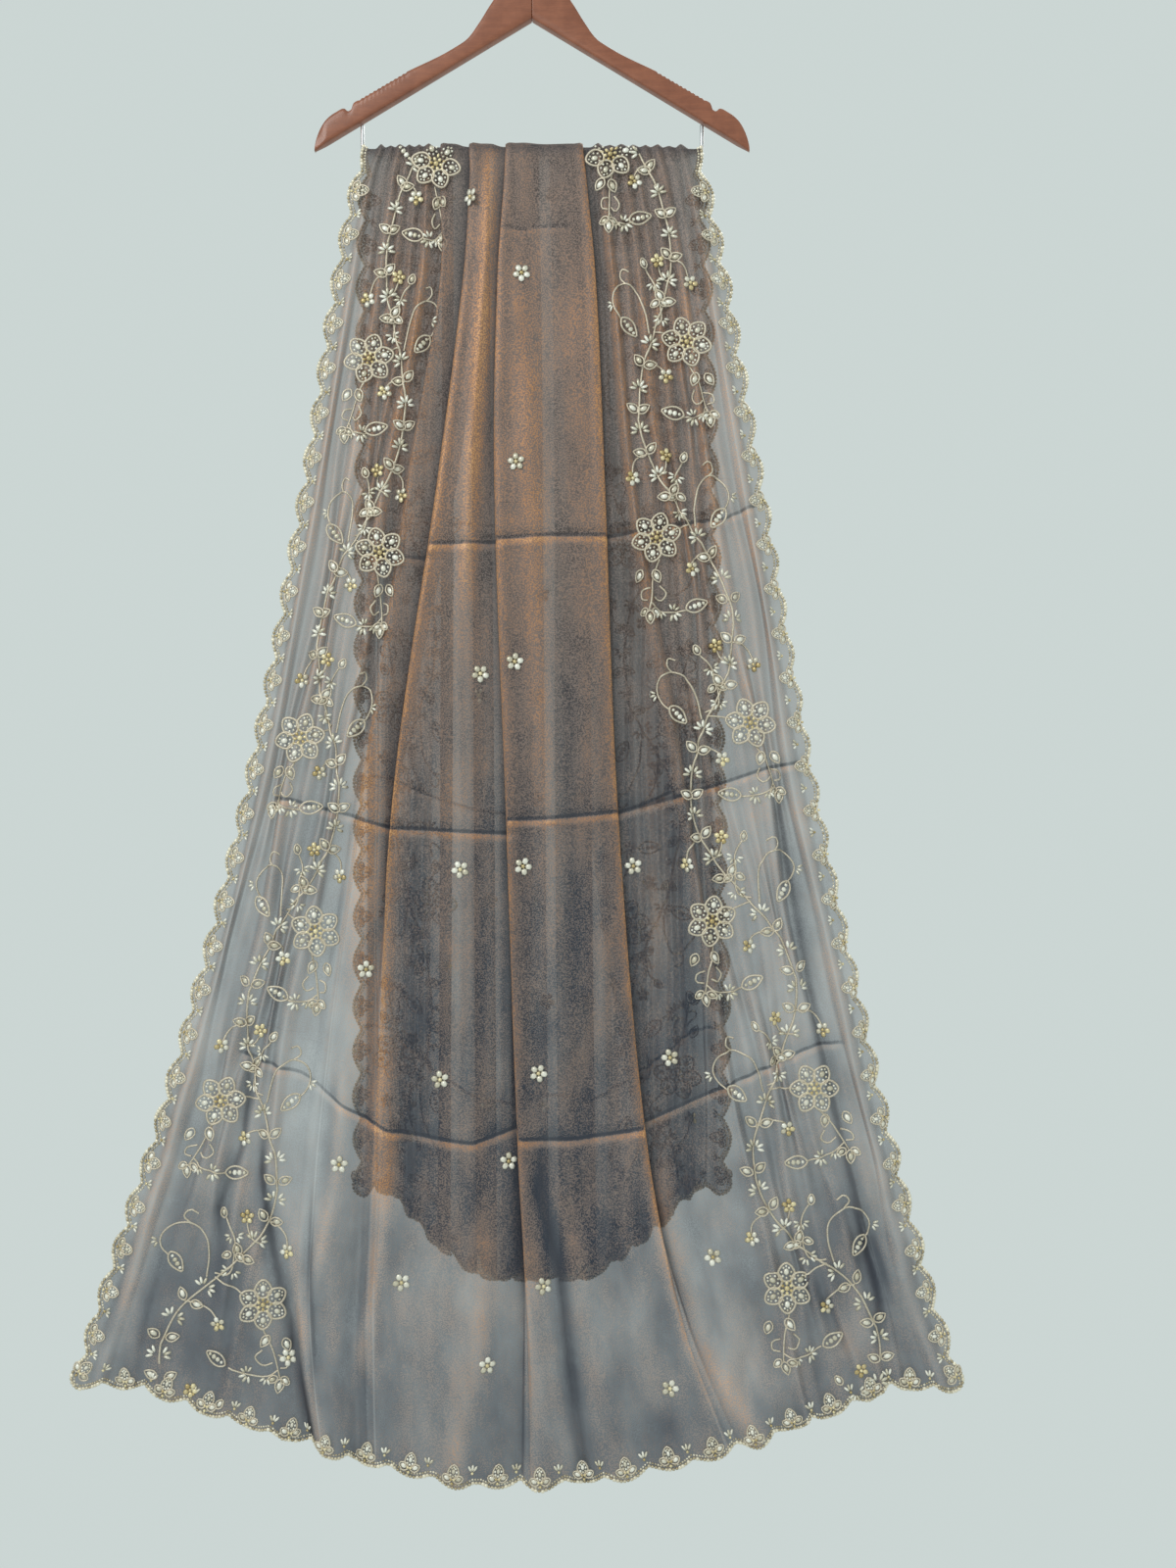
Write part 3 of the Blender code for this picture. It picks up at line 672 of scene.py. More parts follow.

# Along a fold's edge, a painted highlight: the columns that it takes in, how wide the glow is, and how strong
# down the cloth.
EdgeGlow = namedtuple("EdgeGlow", "line facing first last width levels")
EDGE_GLOWS = (
    EdgeGlow("fold_1", -1, 31, 39, 7.0, ((0, 0.1), (300, 0.2), (700, 0.3), (1000, 0.1), (1343, 0.0))),
    EdgeGlow("fold_2", -1, 44, 52, 5.0, ((0, 0.2), (380, 0.4), (690, 0.6), (900, 0.3), (1343, 0.1))),
    EdgeGlow("fold_3", -1, 60, 66, 3.5, ((0, 0.3), (500, 0.4), (1100, 0.4), (1343, 0.2))),
    EdgeGlow("fold_4", 1, 66, 72, 3.2, ((0, 0.4), (500, 0.6), (1050, 0.7), (1343, 0.3))),
)

# Soft patches low on the front, where one layer lies smooth or crumpled: how far across and down the middle
# is, how far it reaches each way, and what it adds to the cover and to the copper and its painted sheen.
Patch = namedtuple("Patch", "across down half_across half_down cover copper")
FRONT_PATCHES = (
    Patch(-226, 1020, 34, 110, -0.20, 0.04),
    Patch(-186, 1290, 60, 38, 0.06, -0.18),
    Patch(-330, 1230, 60, 60, 0.10, -0.12),
    Patch(86, 1194, 45, 60, -0.08, -0.02),
    Patch(130, 1312, 45, 24, 0.10, -0.16),
    Patch(196, 1288, 30, 32, -0.04, 0.30),
    Patch(309, 1200, 60, 60, 0.10, -0.12),
)


# %% What the folds do to them
# Each fold, the way its edge faces, and the first and last column of the layer under it, then of its lap.
UNDER_FOLDS = ((2, -1, 34, 43), (3, -1, 47, 57), (4, 1, 75, 90))
LAPS = ((1, -1, 24, 32.4), (2, -1, 37, 45.4), (3, -1, 50, 60.4), (4, 1, 71.6, 82))
NO_CREASE = 60.0
SHADOW_REACH = 7.0
CREST_REACH = 14
LONG_FOLD_TALL = 5.0
VALLEY_HALF_WIDTH = 0.38


def blurred(values, reach):
    """The mean over reach columns to either side."""
    padded = np.pad(values, ((0, 0), (reach + 1, reach)), mode="edge")
    total = np.cumsum(padded, axis=1)
    return (total[:, 2 * reach + 1:] - total[:, :-2 * reach - 1]) / (2 * reach + 1)


def fold_shadow(cloth, x, column):
    """How dark it is beside the edges of the folds, on the layer that runs under them."""
    painted_shade = np.zeros_like(x)
    for k, facing, first, last in UNDER_FOLDS:
        beyond = facing * (x - at_levels(cloth.fall.lines, cloth.shares, f"fold_{k}"))
        under = (column >= first) & (column <= last)
        near = np.where(beyond > -1.0, np.exp(-np.maximum(beyond, 0.0) / SHADOW_REACH), 1.0)
        painted_shade = np.maximum(painted_shade, under * near)
    return painted_shade


def lap_cover(cloth, x, column):
    """1 where the cloth shows and less where it is lapped out of sight, so that no lap's inner edge shows."""
    cover = np.ones_like(x)
    for k, facing, first, last in LAPS:
        lap = np.maximum(at_levels(cloth.fall.depths, cloth.shares, f"lap_{k}"), 4.0)
        under = -facing * (x - at_levels(cloth.fall.lines, cloth.shares, f"fold_{k}"))
        there = (column >= first) & (column <= last) & (under > 0)
        cover = np.where(there, 1 - (1 - LAP_COVER) * smooth_step(0.0, 0.92, under / lap), cover)
    return cover


def edge_glow(cloth, x, column):
    """A painted highlight along the edge of each fold, where the threads turn towards the light: more copper
    there.
    """
    glow = np.zeros_like(x)
    for row in EDGE_GLOWS:
        inside = np.maximum(-row.facing * (x - at_levels(cloth.fall.lines, cloth.shares, row.line)), 0.0)
        there = (column >= row.first) & (column <= row.last)
        glow += there * from_table(cloth.v, row.levels) * np.exp(-inside / row.width)
    return glow


def crease_line(cloth, x, column):
    """How far below the nearest crease each place lies, in millimetres, and how strong that crease is."""
    nearest = np.full_like(x, NO_CREASE)
    strength = np.zeros_like(x)
    for crease in cloth.creases:
        below, there = from_crease(crease, x, cloth.v)
        on_panel = (column >= crease.panels[0]) & (column <= crease.panels[1])
        stronger = (np.abs(below) < 8.0) & (there > strength) & on_panel
        nearest = np.where(stronger, below * crease.half_width, nearest)
        strength = np.where(stronger, there * min(1.0, crease.depth / 1.5), strength)
    return nearest, strength


def long_fold_light(cloth, x):
    """The painted highlight that the long folds add to the copper on their ridges, less beside them, and how
    dark the painted shade in their valleys is.
    """
    copper = np.zeros_like(x)
    valley = np.zeros_like(x)
    for fold in cloth.long_folds:
        aside, high = from_long_fold(fold, x, cloth.v, 70.0)
        share = high / LONG_FOLD_TALL
        copper += share * (0.32 * np.exp(-(aside**2)) - 0.14 * np.exp(-((np.abs(aside) - 1.7) ** 2)))
        valley = np.maximum(valley, -share * np.exp(-((aside / VALLEY_HALF_WIDTH) ** 2)))
    return copper, valley


def covered(cloth, x, column, facing):
    """How much of the light the cloth stops. One look along a slope passes through more thread."""
    once = from_table(cloth.v, COVER_DOWN) * lap_cover(cloth, x, column)
    once = once * from_table(column, COVER_ACROSS)
    once = 1 - (1 - once) * (1 - from_table(column, PANEL_COVER) * from_table(cloth.v, PANEL_COVER_DOWN))
    if cloth.fall is BACK:
        once = 1 - (1 - once) * (1 - from_table(column, BACK_COVER))
    return np.minimum(COVER_MOST, 1 - (1 - once) ** (1 / np.maximum(facing, 0.3)))


# %% Painting a fall
def paint(cloth, shape):
    """The painted values of a fall, on its plain grid and then carried out to the grid with scallops."""
    x, depth = cloth.sections[..., 0], cloth.sections[..., 1]
    column = np.broadcast_to(np.arange(x.shape[1]) / FINE_COLUMNS, x.shape)
    facing = np.abs(normals_of(cloth.points)[..., 1])
    crest = np.clip((depth - blurred(depth, CREST_REACH)) / 3.5, -1.0, 1.0)
    across = from_table(column, COPPER_ACROSS)
    down = from_table(cloth.v, COPPER_DOWN)
    inner = np.minimum(1.0, across / 0.4)
    # Crests and steep slopes get a painted sheen of copper, and hollows a painted shade of navy.
    slope = crest * (0.07 + 0.15 * down) + 0.4 * (1 - facing) ** 2 * down
    copper = 0.1 + 0.60 * across * down + inner * slope
    crease_below, crease_there = crease_line(cloth, x, column)
    # The long folds and the folds' edges add painted highlights, and the long folds' valleys painted shade.
    folds_highlight, valley = long_fold_light(cloth, x)
    copper = copper + folds_highlight + edge_glow(cloth, x, column)
    # Painted shadow beside the folds' edges and along the top row, where the cloth turns over the bar.
    shadow = np.maximum(fold_shadow(cloth, x, column), 0.9 * np.exp(-((cloth.v / 5.0) ** 2)))
    shadow = np.maximum(shadow, np.minimum(1.0, valley * 1.1))
    cover = covered(cloth, x, column, facing)
    if cloth.fall is FRONT:
        for patch in FRONT_PATCHES:
            aside = (x - patch.across) / patch.half_across
            below = (cloth.v - patch.down) / patch.half_down
            there = np.exp(-(aside**2 + below**2))
            cover = cover + patch.cover * there
            copper = copper + patch.copper * there
    cool = smooth_step(330.0, 850.0, cloth.v)
    values = np.stack([np.clip(copper, 0.0, 1.0), shadow, cover, crease_below, crease_there, cool], axis=-1)
    return np.pad(values, ((0, shape[0] - len(values)), (LOBES, LOBES), (0, 0)), mode="edge")


front_paint = paint(front, front_grid.shape)
back_paint = paint(back, back_grid.shape)
print("copper in front: mean %.2f" % front_paint[..., 0].mean())

# %% [markdown]
# Embroidery is drawn on the flat cloth: u runs across it from 0 at the left edge to its width, and v runs
# down from the bar. The outer 24 mm of each border keeps its true size at every level, and the rest of the
# border and the field take up what is left of the level's own length, because the gathers draw them in.

# %% From the flat cloth to the hung cloth
CLOTH_WIDTH = 1000.0
LEFT_BORDER, RIGHT_BORDER = 165.0, 195.0
TRUE_RIM = 24.0
RIM = 14.0
EVEN_U = np.arange(-RIM, CLOTH_WIDTH + RIM + 1.0, 2.0)
INNER_LEFT, INNER_RIGHT = 27 * FINE_COLUMNS, 81 * FINE_COLUMNS


def places_across(points):
    """u of each column at each level, from the lengths along the level."""
    steps = np.linalg.norm(np.diff(points, axis=1), axis=-1) / MM
    lengths = np.concatenate([np.zeros((len(points), 1)), np.cumsum(steps, axis=1)], axis=1)
    rows = []
    for row in lengths:
        marks = [0.0, TRUE_RIM, row[INNER_LEFT], row[INNER_RIGHT], row[-1] - TRUE_RIM, row[-1]]
        flat = [0.0, TRUE_RIM, LEFT_BORDER, CLOTH_WIDTH - RIGHT_BORDER, CLOTH_WIDTH - TRUE_RIM, CLOTH_WIDTH]
        rows.append(np.interp(row, marks, flat))
    return np.array(rows)


class Hung:
    """A fall of the cloth, on which anything drawn on the flat cloth can be laid."""

    def __init__(self, points, row_v, outward):
        self.column_u = places_across(points)
        rim = RIM * MM
        left = points[:, 0] + side_reach(points[:, 0], -1) * rim
        right = points[:, -1] + side_reach(points[:, -1], 1) * rim
        wide = np.concatenate([left[:, None], points, right[:, None]], axis=1)
        wide_u = np.pad(self.column_u, ((0, 0), (1, 1)))
        wide_u[:, 0], wide_u[:, -1] = -RIM, CLOTH_WIDTH + RIM
        even = np.stack([at_lengths(EVEN_U, flat, row) for flat, row in zip(wide_u, wide)])
        under = even[-1] + unit(even[-1] - even[-2]) * rim
        self.points = np.concatenate([even, under[None]], axis=0)
        self.v = np.concatenate([row_v, [row_v[-1] + RIM]])
        self.across = unit(np.gradient(self.points, axis=1))
        self.normal = unit(np.cross(self.across, unit(np.gradient(self.points, axis=0)))) * outward
        self.outward = outward

    def blend(self, layer, u, v):
        """A layer of the grid at any places on the cloth."""
        i = np.interp(v, self.v, np.arange(len(self.v)))
        j = np.interp(u, EVEN_U, np.arange(len(EVEN_U)))
        row = np.minimum(i.astype(int), len(self.v) - 2)
        column = np.minimum(j.astype(int), len(EVEN_U) - 2)
        s, t = (i - row)[:, None], (j - column)[:, None]
        top = layer[row, column] * (1 - t) + layer[row, column + 1] * t
        foot = layer[row + 1, column] * (1 - t) + layer[row + 1, column + 1] * t
        return top * (1 - s) + foot * s

    def at(self, u, v, lift):
        """Points lift over the cloth, the way across it, the way down it and the way out of it."""
        normal = unit(self.blend(self.normal, u, v))
        across = self.blend(self.across, u, v)
        across = unit(across - normal * np.sum(across * normal, axis=1, keepdims=True))
        down = np.cross(normal, across) * self.outward
        return self.blend(self.points, u, v) + normal * np.asarray(lift)[..., None] * MM, across, down, normal

    def stiff(self, u, v, reach):
        """Where stiff work sits: its middle on the crests under it, and the ways across, down and out."""
        def spots(du, dv):
            return self.blend(self.points, u + du, np.clip(v + dv, 3.0, self.v[-1]))
        drawn_in = np.linalg.norm(spots(reach, 0) - spots(-reach, 0), axis=1) / (2 * reach * MM)
        wide = reach / np.clip(drawn_in, 0.4, 1.0)
        cells = np.stack([[spots(i * wide, 0.8 * j * reach) for j in (-1, 0, 1)]
                          for i in np.linspace(-1, 1, 9)])
        middle = cells.mean(axis=(0, 1))
        across = unit((cells[-1] - cells[0]).mean(axis=0))
        down = (cells[:, 2] - cells[:, 0]).mean(axis=0)
        down = unit(down - across * np.sum(down * across, axis=1, keepdims=True))
        out = np.cross(across, down) * self.outward
        lift = np.clip(np.max(np.sum((cells - middle) * out, axis=3), axis=(0, 1)), 0.0, 8.0 * MM)
        return middle + out * (lift[:, None] + 0.5 * MM), across, down, out


front_cloth = Hung(front.points, front.v[:, 0], -1)
back_cloth = Hung(back.points, back.v[:, 0], 1)
middle = front_cloth.at(np.array([500.0]), np.array([300.0]), 0.0)[0]
print("a point of the front, 0.5 m across and 0.3 m down:", middle)

# %% [markdown]
# The finish of the organza starts from two thread colours. The painted copper, with its painted
# sheen, chooses between them, disturbed by long streaks along the threads and by a fine grain,
# because a sheer weave glitters thread by thread. A packet's crease is painted as a dark line of
# painted shade, with a painted highlight under it and soft painted shade over it, each found from
# the painted distance to the crease. The cloth lets light through, so its alpha is the painted
# cover, a little uneven like the weave itself.

# %% Shot organza
UMBER = (0.062, 0.044, 0.040)
NAVY = (0.034, 0.045, 0.070)
SMOKE = (0.265, 0.200, 0.175)
COPPER = (0.62, 0.285, 0.12)
# GLOW is the colour of the painted copper highlight.
GLOW = (0.92, 0.54, 0.24)

organza = Finish("shot_organza", Specular_IOR_Level=0.45, Sheen_Weight=0.15, Sheen_Roughness=0.35,
                 Sheen_Tint=(0.95, 0.72, 0.55))
flat_place = organza.painted("flat_place", "Vector")
broad = organza.noise(organza.scaled(flat_place, (1.0, 0.12, 1.0)), 24.0, 2.0, 0.5)
streaks = organza.noise(organza.scaled(flat_place, (1.0, 0.14, 1.0)), 95.0, 3.0, 0.55)
patches = organza.noise(organza.scaled(flat_place, (1.0, 0.6, 1.0)), 34.0, 3.0, 0.6)
blotches = organza.noise(organza.scaled(flat_place, (1.0, 0.55, 1.0)), 15.0, 3.0, 0.55)
grain = organza.noise(organza.place(), 760.0, 1.0, 0.4)
threads = organza.noise(organza.scaled(flat_place, (1.0, 0.25, 1.0)), 1500.0, 1.0, 0.5)
# How much copper shows, with the painted sheen and shade of the folds in it.
copper_and_sheen_share = organza.painted("copper")
below = organza.painted("crease_below")
there = organza.painted("crease_there")
# Painted shade in a crease's hollow (line), a painted highlight on the ridge under it (line_light) and soft
# painted shade over it (line_soft).
line = there * (below.between(-3.2, -0.8) - below.between(0.5, 2.4))
line_light = there * (below.between(1.0, 3.0) - below.between(4.0, 11.0))
line_soft = there * (below.between(-18.0, -3.0) - below.between(-2.0, 1.0))
sparkle = grain.between(0.42, 0.61) - 0.5
tone = (copper_and_sheen_share + (broad - 0.5) * 0.12 + (streaks - 0.5) * 0.16 + (patches - 0.5) * 0.50
        + line_light * 0.36 - line * 0.35 - line_soft * 0.12 + sparkle * (copper_and_sheen_share * 0.40 + 0.19))
# The dark threads' own colour, umber high on the cloth and navy lower down; it also shows as painted shade
# where hollows and creases lower the tone.
hollow = organza.mix(organza.painted("cool"), UMBER, NAVY)
tone = tone + (organza.painted("cool") * 0.55 + 0.15) * (blotches - 0.5)
ground = organza.mix(tone.between(-0.02, 0.46), hollow, SMOKE)
shot = organza.mix(tone.between(0.36, 1.06), ground, COPPER)
# The brightest copper takes the painted highlight.
lit = organza.mix((tone + (threads - 0.5) * 0.7).between(0.85, 1.35) * 0.6, shot, GLOW)
# Painted shade: the painted shadow and the crease lines darken the colour towards near black.
painted_shade = organza.painted("shadow") + line * 0.8
organza.feed("Base Color", organza.mix(painted_shade * 0.62, lit, (0.03, 0.03, 0.04)))
uneven_cover = sparkle * 0.08 + organza.painted("cool") * ((patches - 0.5) * 0.30 - (blotches - 0.5) * 0.34)
# The painted shade also raises the alpha.
organza.feed("Alpha", (organza.painted("cover") + uneven_cover + painted_shade * 0.25).between(-0.25, 1.25))
organza.feed("Metallic", copper_and_sheen_share.between(0.2, 1.0) * 0.25)
organza.feed("Roughness", 0.50 - tone.between(0.3, 1.0) * 0.14 + (threads - 0.5) * 0.1)
organza.feed("Normal", organza.bump(threads * 0.5 + grain, 0.35, 0.0006))
print("organza has", len(organza.tree.nodes), "nodes")


# %% The two falls
LOBE_PLACES = np.array([5.0, 11.0])
TURNS = np.linspace(0.0, 1.0, 13)


def make_fall(name, grid, values, column_u, place_v, nodes, face_out):
    """A fall's mesh. The scallops and the fold over the bar take their places from their neighbours."""
    rows, columns = grid.shape[:2]
    place_u = np.pad(column_u, ((rows - LOBES - len(column_u), LOBES), (0, 0)), mode="edge")
    left, right = (np.tile(ends, (rows, 1)) for ends in (-LOBE_PLACES[::-1], CLOTH_WIDTH + LOBE_PLACES))
    place_u = np.column_stack([left, place_u, right])
    place_v = np.broadcast_to(place_v[:, None], (rows, columns))
    flat = np.stack([place_u, place_v, np.zeros((rows, columns))], axis=-1) * MM
    painted = {key: values[..., k].ravel() for k, key in enumerate(PAINTED)}
    painted["flat_place"] = flat.reshape(-1, 3)
    faces = grid_faces(rows, columns, face_out)
    piece = make_piece(name, grid.reshape(-1, 3), faces, organza, "organza", painted)
    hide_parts(*nodes)
    return piece


front_rows_v = np.concatenate([front.shares * FRONT.drop, FRONT.drop + LOBE_PLACES])
stole_front = make_fall("stole_front", front_grid, front_paint, front_cloth.column_u, front_rows_v,
                        ["cloth_front"], True)

crown = over_bar(TURNS)[:-1]
crown_rim = np.array([0.010, 0.005])[None, :, None] * [1.0, 0.0, 0.0]
crown = np.concatenate([crown[:, :1] - crown_rim, crown, crown[:, -1:] + crown_rim[:, ::-1]], axis=1)
crown_v = -3.0 * np.arange(len(crown), 0, -1)
back_rows_v = np.concatenate([crown_v, back.shares * BACK.drop, BACK.drop + LOBE_PLACES])
# The fold over the bar takes the painted values of the back's top row, with its painted shadow.
back_values = np.concatenate([np.repeat(back_paint[:1], len(crown), axis=0), back_paint])
stole_back = make_fall("stole_back", np.concatenate([crown, back_grid]), back_values, back_cloth.column_u,
                       -back_rows_v, ["cloth_back", "cloth_over_bar"], False)

# %% [markdown]
# The hanger has two flat wooden arms, stained a reddish brown and varnished to a satin gloss. Their edges are
# well rounded by the sander, so each arm is a loft: a rounded oblong at every step from the neck to the tip,
# with the outline of the solid. The fine ridges on the shoulders and the notch for straps are in the outline.

# %% The outline of an arm
UNDERSIDE_PEAK_Z = -114.8
TIP_X = 221.5
TIP_Z = -248.7
ARM_HALF = 6.0
EDGE_ROUND = 4.2
RIDGES = 12
RIDGE_LENGTH = 4.2
RIDGES_FROM = (127, -168.6)
SHOULDER_SLOPE = 0.585
ARM_TOP = [(0, -64), (12, -65.5), (22, -72.5), (34, -88.6), (42.5, -101), (54, -119.5), (66, -135.5),
           (80, -145), RIDGES_FROM]
for i in range(RIDGES):
    x, z = RIDGES_FROM[0] + RIDGE_LENGTH * i, RIDGES_FROM[1] - SHOULDER_SLOPE * RIDGE_LENGTH * i
    ARM_TOP += [(x + 1.5, z - 0.86 - 1.1), (x + RIDGE_LENGTH, z - 2.457)]
ARM_TOP += [(182, -201.5), (183.6, -206.8), (187.2, -208.8), (190.8, -206.2), (199, -209.6), (207, -215.2),
            (214, -223.6), (218.8, -233.5), (221.2, -243), (TIP_X, TIP_Z)]


def underside(x):
    """The height of the arm's straight underside, x away from the middle."""
    return UNDERSIDE_PEAK_Z + (TIP_Z - UNDERSIDE_PEAK_Z) / TIP_X * x


def arm_stations():
    """Distances from the middle at which the arm is measured, closer where its outline turns."""
    neck = np.linspace(0.15, 1.2, 4)
    slope = np.linspace(2.0, 80.0, 40)
    shoulder = np.linspace(84.0, 127.0, 12)
    ridges = np.linspace(127.5, 178.0, 73)
    notch = np.linspace(179.0, 200.0, 24)
    tip = TIP_X - 20.5 * (1 - np.sin(np.linspace(0.06, math.pi / 2, 26)))
    return np.concatenate([neck, slope, shoulder, ridges, notch, tip])


# %% Lofting the arms
def arm_mesh(side):
    stations = arm_stations()
    outline = np.array(ARM_TOP)
    top = refine(outline[None, :9], 6)[0]
    rest = refine(outline[None, 8:], 4)[0]
    line = np.concatenate([top, rest[1:]])
    order = np.maximum.accumulate(line[:, 0])
    high = np.interp(stations, order, line[:, 1])
    low = underside(stations)
    half_height = np.maximum((high - low) / 2, 0.25)
    turn = np.linspace(0, 2 * math.pi, 28, endpoint=False) + 0.11
    power = 2 / 3.6
    swing_y = np.sign(np.cos(turn)) * np.abs(np.cos(turn)) ** power
    swing_z = np.sign(np.sin(turn)) * np.abs(np.sin(turn)) ** power
    thick = ARM_HALF * np.ones_like(stations)
    thick[0] -= 0.9
    thick[1] -= 0.25
    near_tip = smooth_step(TIP_X, TIP_X - 13.0, stations)
    thick *= 0.55 + 0.45 * near_tip
    rounding = np.minimum(1.0, half_height / 9.0)[:, None]
    y = thick[:, None] * (swing_y * rounding + np.cos(turn) * (1 - rounding))
    corner = np.maximum(half_height - EDGE_ROUND, 0)[:, None]
    reach_z = np.minimum(half_height, EDGE_ROUND)[:, None]
    z = ((high + low) / 2)[:, None] + corner * np.clip(2.2 * np.sin(turn), -1, 1) + reach_z * swing_z
    z[0] = z[0] * 0.985 + z[0].mean() * 0.015
    x = np.broadcast_to(side * stations[:, None], y.shape)
    points = np.stack([x, y, z], axis=-1) * MM
    faces = ring_faces(*points.shape[:2])
    if side < 0:
        faces = [face[::-1] for face in faces]
    return points.reshape(-1, 3), faces


wood = Finish("varnished_wood", Specular_IOR_Level=0.5, Coat_Roughness=0.16)
wood_place = wood.place()
along_grain = wood.scaled(wood_place, (0.35, 1.0, 1.0))
bands = {"wave_type": "BANDS", "bands_direction": "Z", "wave_profile": "SIN"}
rings = wood.node("ShaderNodeTexWave", bands, {"Vector": along_grain, "Scale": 38.0, "Distortion": 5.0,
                                               "Detail": 3.0, "Detail Scale": 1.4}, 1)
pores = wood.noise(wood.scaled(wood_place, (0.06, 1.0, 1.0)), 1300.0, 2.0, 0.6)
wear = wood.noise(wood_place, 55.0, 4.0, 0.6)
wood_tone = rings * 0.06 + pores * 0.42 + wear * 0.52
wood_colour = wood.mix(wood_tone.between(0.3, 0.72), (0.22, 0.064, 0.027), (0.33, 0.104, 0.045))
wood.feed("Base Color", wood.mix(pores.between(0.62, 0.75) * 0.35, wood_colour, (0.10, 0.030, 0.015)))
wood.feed("Roughness", 0.30 + wear * 0.16)
wood.feed("Coat Weight", 0.30 + wear * 0.3)
wood.feed("Normal", wood.bump(pores + rings * 0.3, 0.12, 0.0005))

for arm_name, arm_side in (("right", 1), ("left", -1)):
    arm_points, arm_faces = arm_mesh(arm_side)
    arm = make_piece(f"arm_{arm_name}", arm_points, arm_faces, wood, "wood")
    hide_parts(f"hanger_arm_{arm_name}")


# %% [markdown]
# The hook and the trouser bar are bent from bright steel wire. A wire is a ring of points
# carried along a line, and the same function later lays the metal thread of the embroidery, so
# it is written once, for any line.

# %% Tubes along lines
def tube(line, radius, sides, caps=True):
    """Points and faces of a round wire along a line in metres, with rounded ends if it has caps."""
    line = np.asarray(line, float)
    way = unit(np.gradient(line, axis=0))
    helper = np.where(np.abs(way[:, 1:2]) < 0.9, [[0.0, 1.0, 0.0]], [[1.0, 0.0, 0.0]])
    first = unit(np.cross(way, helper))
    second = np.cross(way, first)
    radii = np.full(len(line), radius)
    if caps:
        line = np.concatenate([line[:1] - way[:1] * radius * 0.7, line[:1] - way[:1] * radius * 0.35, line,
                               line[-1:] + way[-1:] * radius * 0.35, line[-1:] + way[-1:] * radius * 0.7])
        radii = np.concatenate([[radius * 0.45, radius * 0.85], radii, [radius * 0.85, radius * 0.45]])
        first = np.concatenate([first[:1], first[:1], first, first[-1:], first[-1:]])
        second = np.concatenate([second[:1], second[:1], second, second[-1:], second[-1:]])
    angle = np.linspace(0, 2 * math.pi, sides, endpoint=False)
    around = first[:, None] * np.cos(angle)[:, None] + second[:, None] * np.sin(angle)[:, None]
    points = line[:, None] + around * radii[:, None, None]
    return points.reshape(-1, 3), ring_faces(len(line), sides, caps)


def standing(line):
    """A line of (x, z) in millimetres as points in metres, in the middle plane of the hanger."""
    return np.stack([line[:, 0], 0 * line[:, 0], line[:, 1]], axis=1) * MM


def hook_line():
    """The hook's middle line: up from the neck, out to the right and over the rail's place."""
    radius, centre_z = 20.75, -19.0
    angles = np.radians(np.linspace(-50.0, 205.0, 90))
    arc = np.stack([radius * np.cos(angles), centre_z + radius * np.sin(angles)], axis=1)
    foot, joint = np.array([0.0, -50.0]), arc[0]
    pull_up = foot + [0.0, 9.0]
    pull_back = joint - np.array([-math.sin(angles[0]), math.cos(angles[0])]) * 7.0
    s = np.linspace(0, 1, 20, endpoint=False)[:, None]
    stem = (1 - s) ** 3 * foot + 3 * s * (1 - s) ** 2 * pull_up
    stem = stem + 3 * s**2 * (1 - s) * pull_back + s**3 * joint
    return standing(np.concatenate([[[0.0, -62.9], [0.0, -57.0]], stem, arc]))


def bar_line():
    """The bar's middle line: down one leg, along under the cloth's fold and up the other leg."""
    leg_x, bend = 173.0, 4.0
    leg_top = underside(leg_x + 2.0) - 0.3
    angle = np.linspace(0, math.pi / 2, 9)
    corner = np.stack([leg_x - bend * (1 - np.cos(angle)), BAR_Z + bend * (1 - np.sin(angle))], axis=1)
    right = np.concatenate([[[leg_x, leg_top - 1.5]], corner])
    return standing(np.concatenate([right, right[::-1] * [-1, 1]]))


steel = Finish("steel_wire", Metallic=1.0)
steel_place = steel.place()
drawn = steel.noise(steel.scaled(steel_place, (1.0, 1.0, 0.3)), 400.0, 2.0, 0.5)
tarnish = steel.noise(steel_place, 60.0, 3.0, 0.6)
steel.feed("Base Color", steel.mix(tarnish.between(0.4, 0.75), (0.66, 0.67, 0.69), (0.46, 0.46, 0.46)))
steel.feed("Roughness", 0.20 + tarnish * 0.18)
steel.feed("Normal", steel.bump(drawn, 0.1, 0.0003))

hook = make_piece("hook", *tube(hook_line(), 1.75 * MM, 14), steel, "steel")
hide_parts("hanger_hook")
bar = make_piece("bar", *tube(bar_line(), 2.0 * MM, 14), steel, "steel")
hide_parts("hanger_bar")

# %% [markdown]
# A cord of small beads finishes the scalloped edge. Thousands of beads are one mesh: the points of one bead
# are turned, stretched and moved by numpy to all its places at once. That is quick.

# %% A bead and many beads
GOLDEN = (1 + math.sqrt(5)) / 2
BEAD_POINTS = unit(np.array([(-1, GOLDEN, 0), (1, GOLDEN, 0), (-1, -GOLDEN, 0), (1, -GOLDEN, 0),
                             (0, -1, GOLDEN), (0, 1, GOLDEN), (0, -1, -GOLDEN), (0, 1, -GOLDEN),
                             (GOLDEN, 0, -1), (GOLDEN, 0, 1), (-GOLDEN, 0, -1), (-GOLDEN, 0, 1)], float))
BEAD_FACES = np.array([(0, 11, 5), (0, 5, 1), (0, 1, 7), (0, 7, 10), (0, 10, 11), (1, 5, 9), (5, 11, 4),
                       (11, 10, 2), (10, 7, 6), (7, 1, 8), (3, 9, 4), (3, 4, 2), (3, 2, 6), (3, 6, 8),
                       (3, 8, 9), (4, 9, 5), (2, 4, 11), (6, 2, 10), (8, 6, 7), (9, 8, 1)])


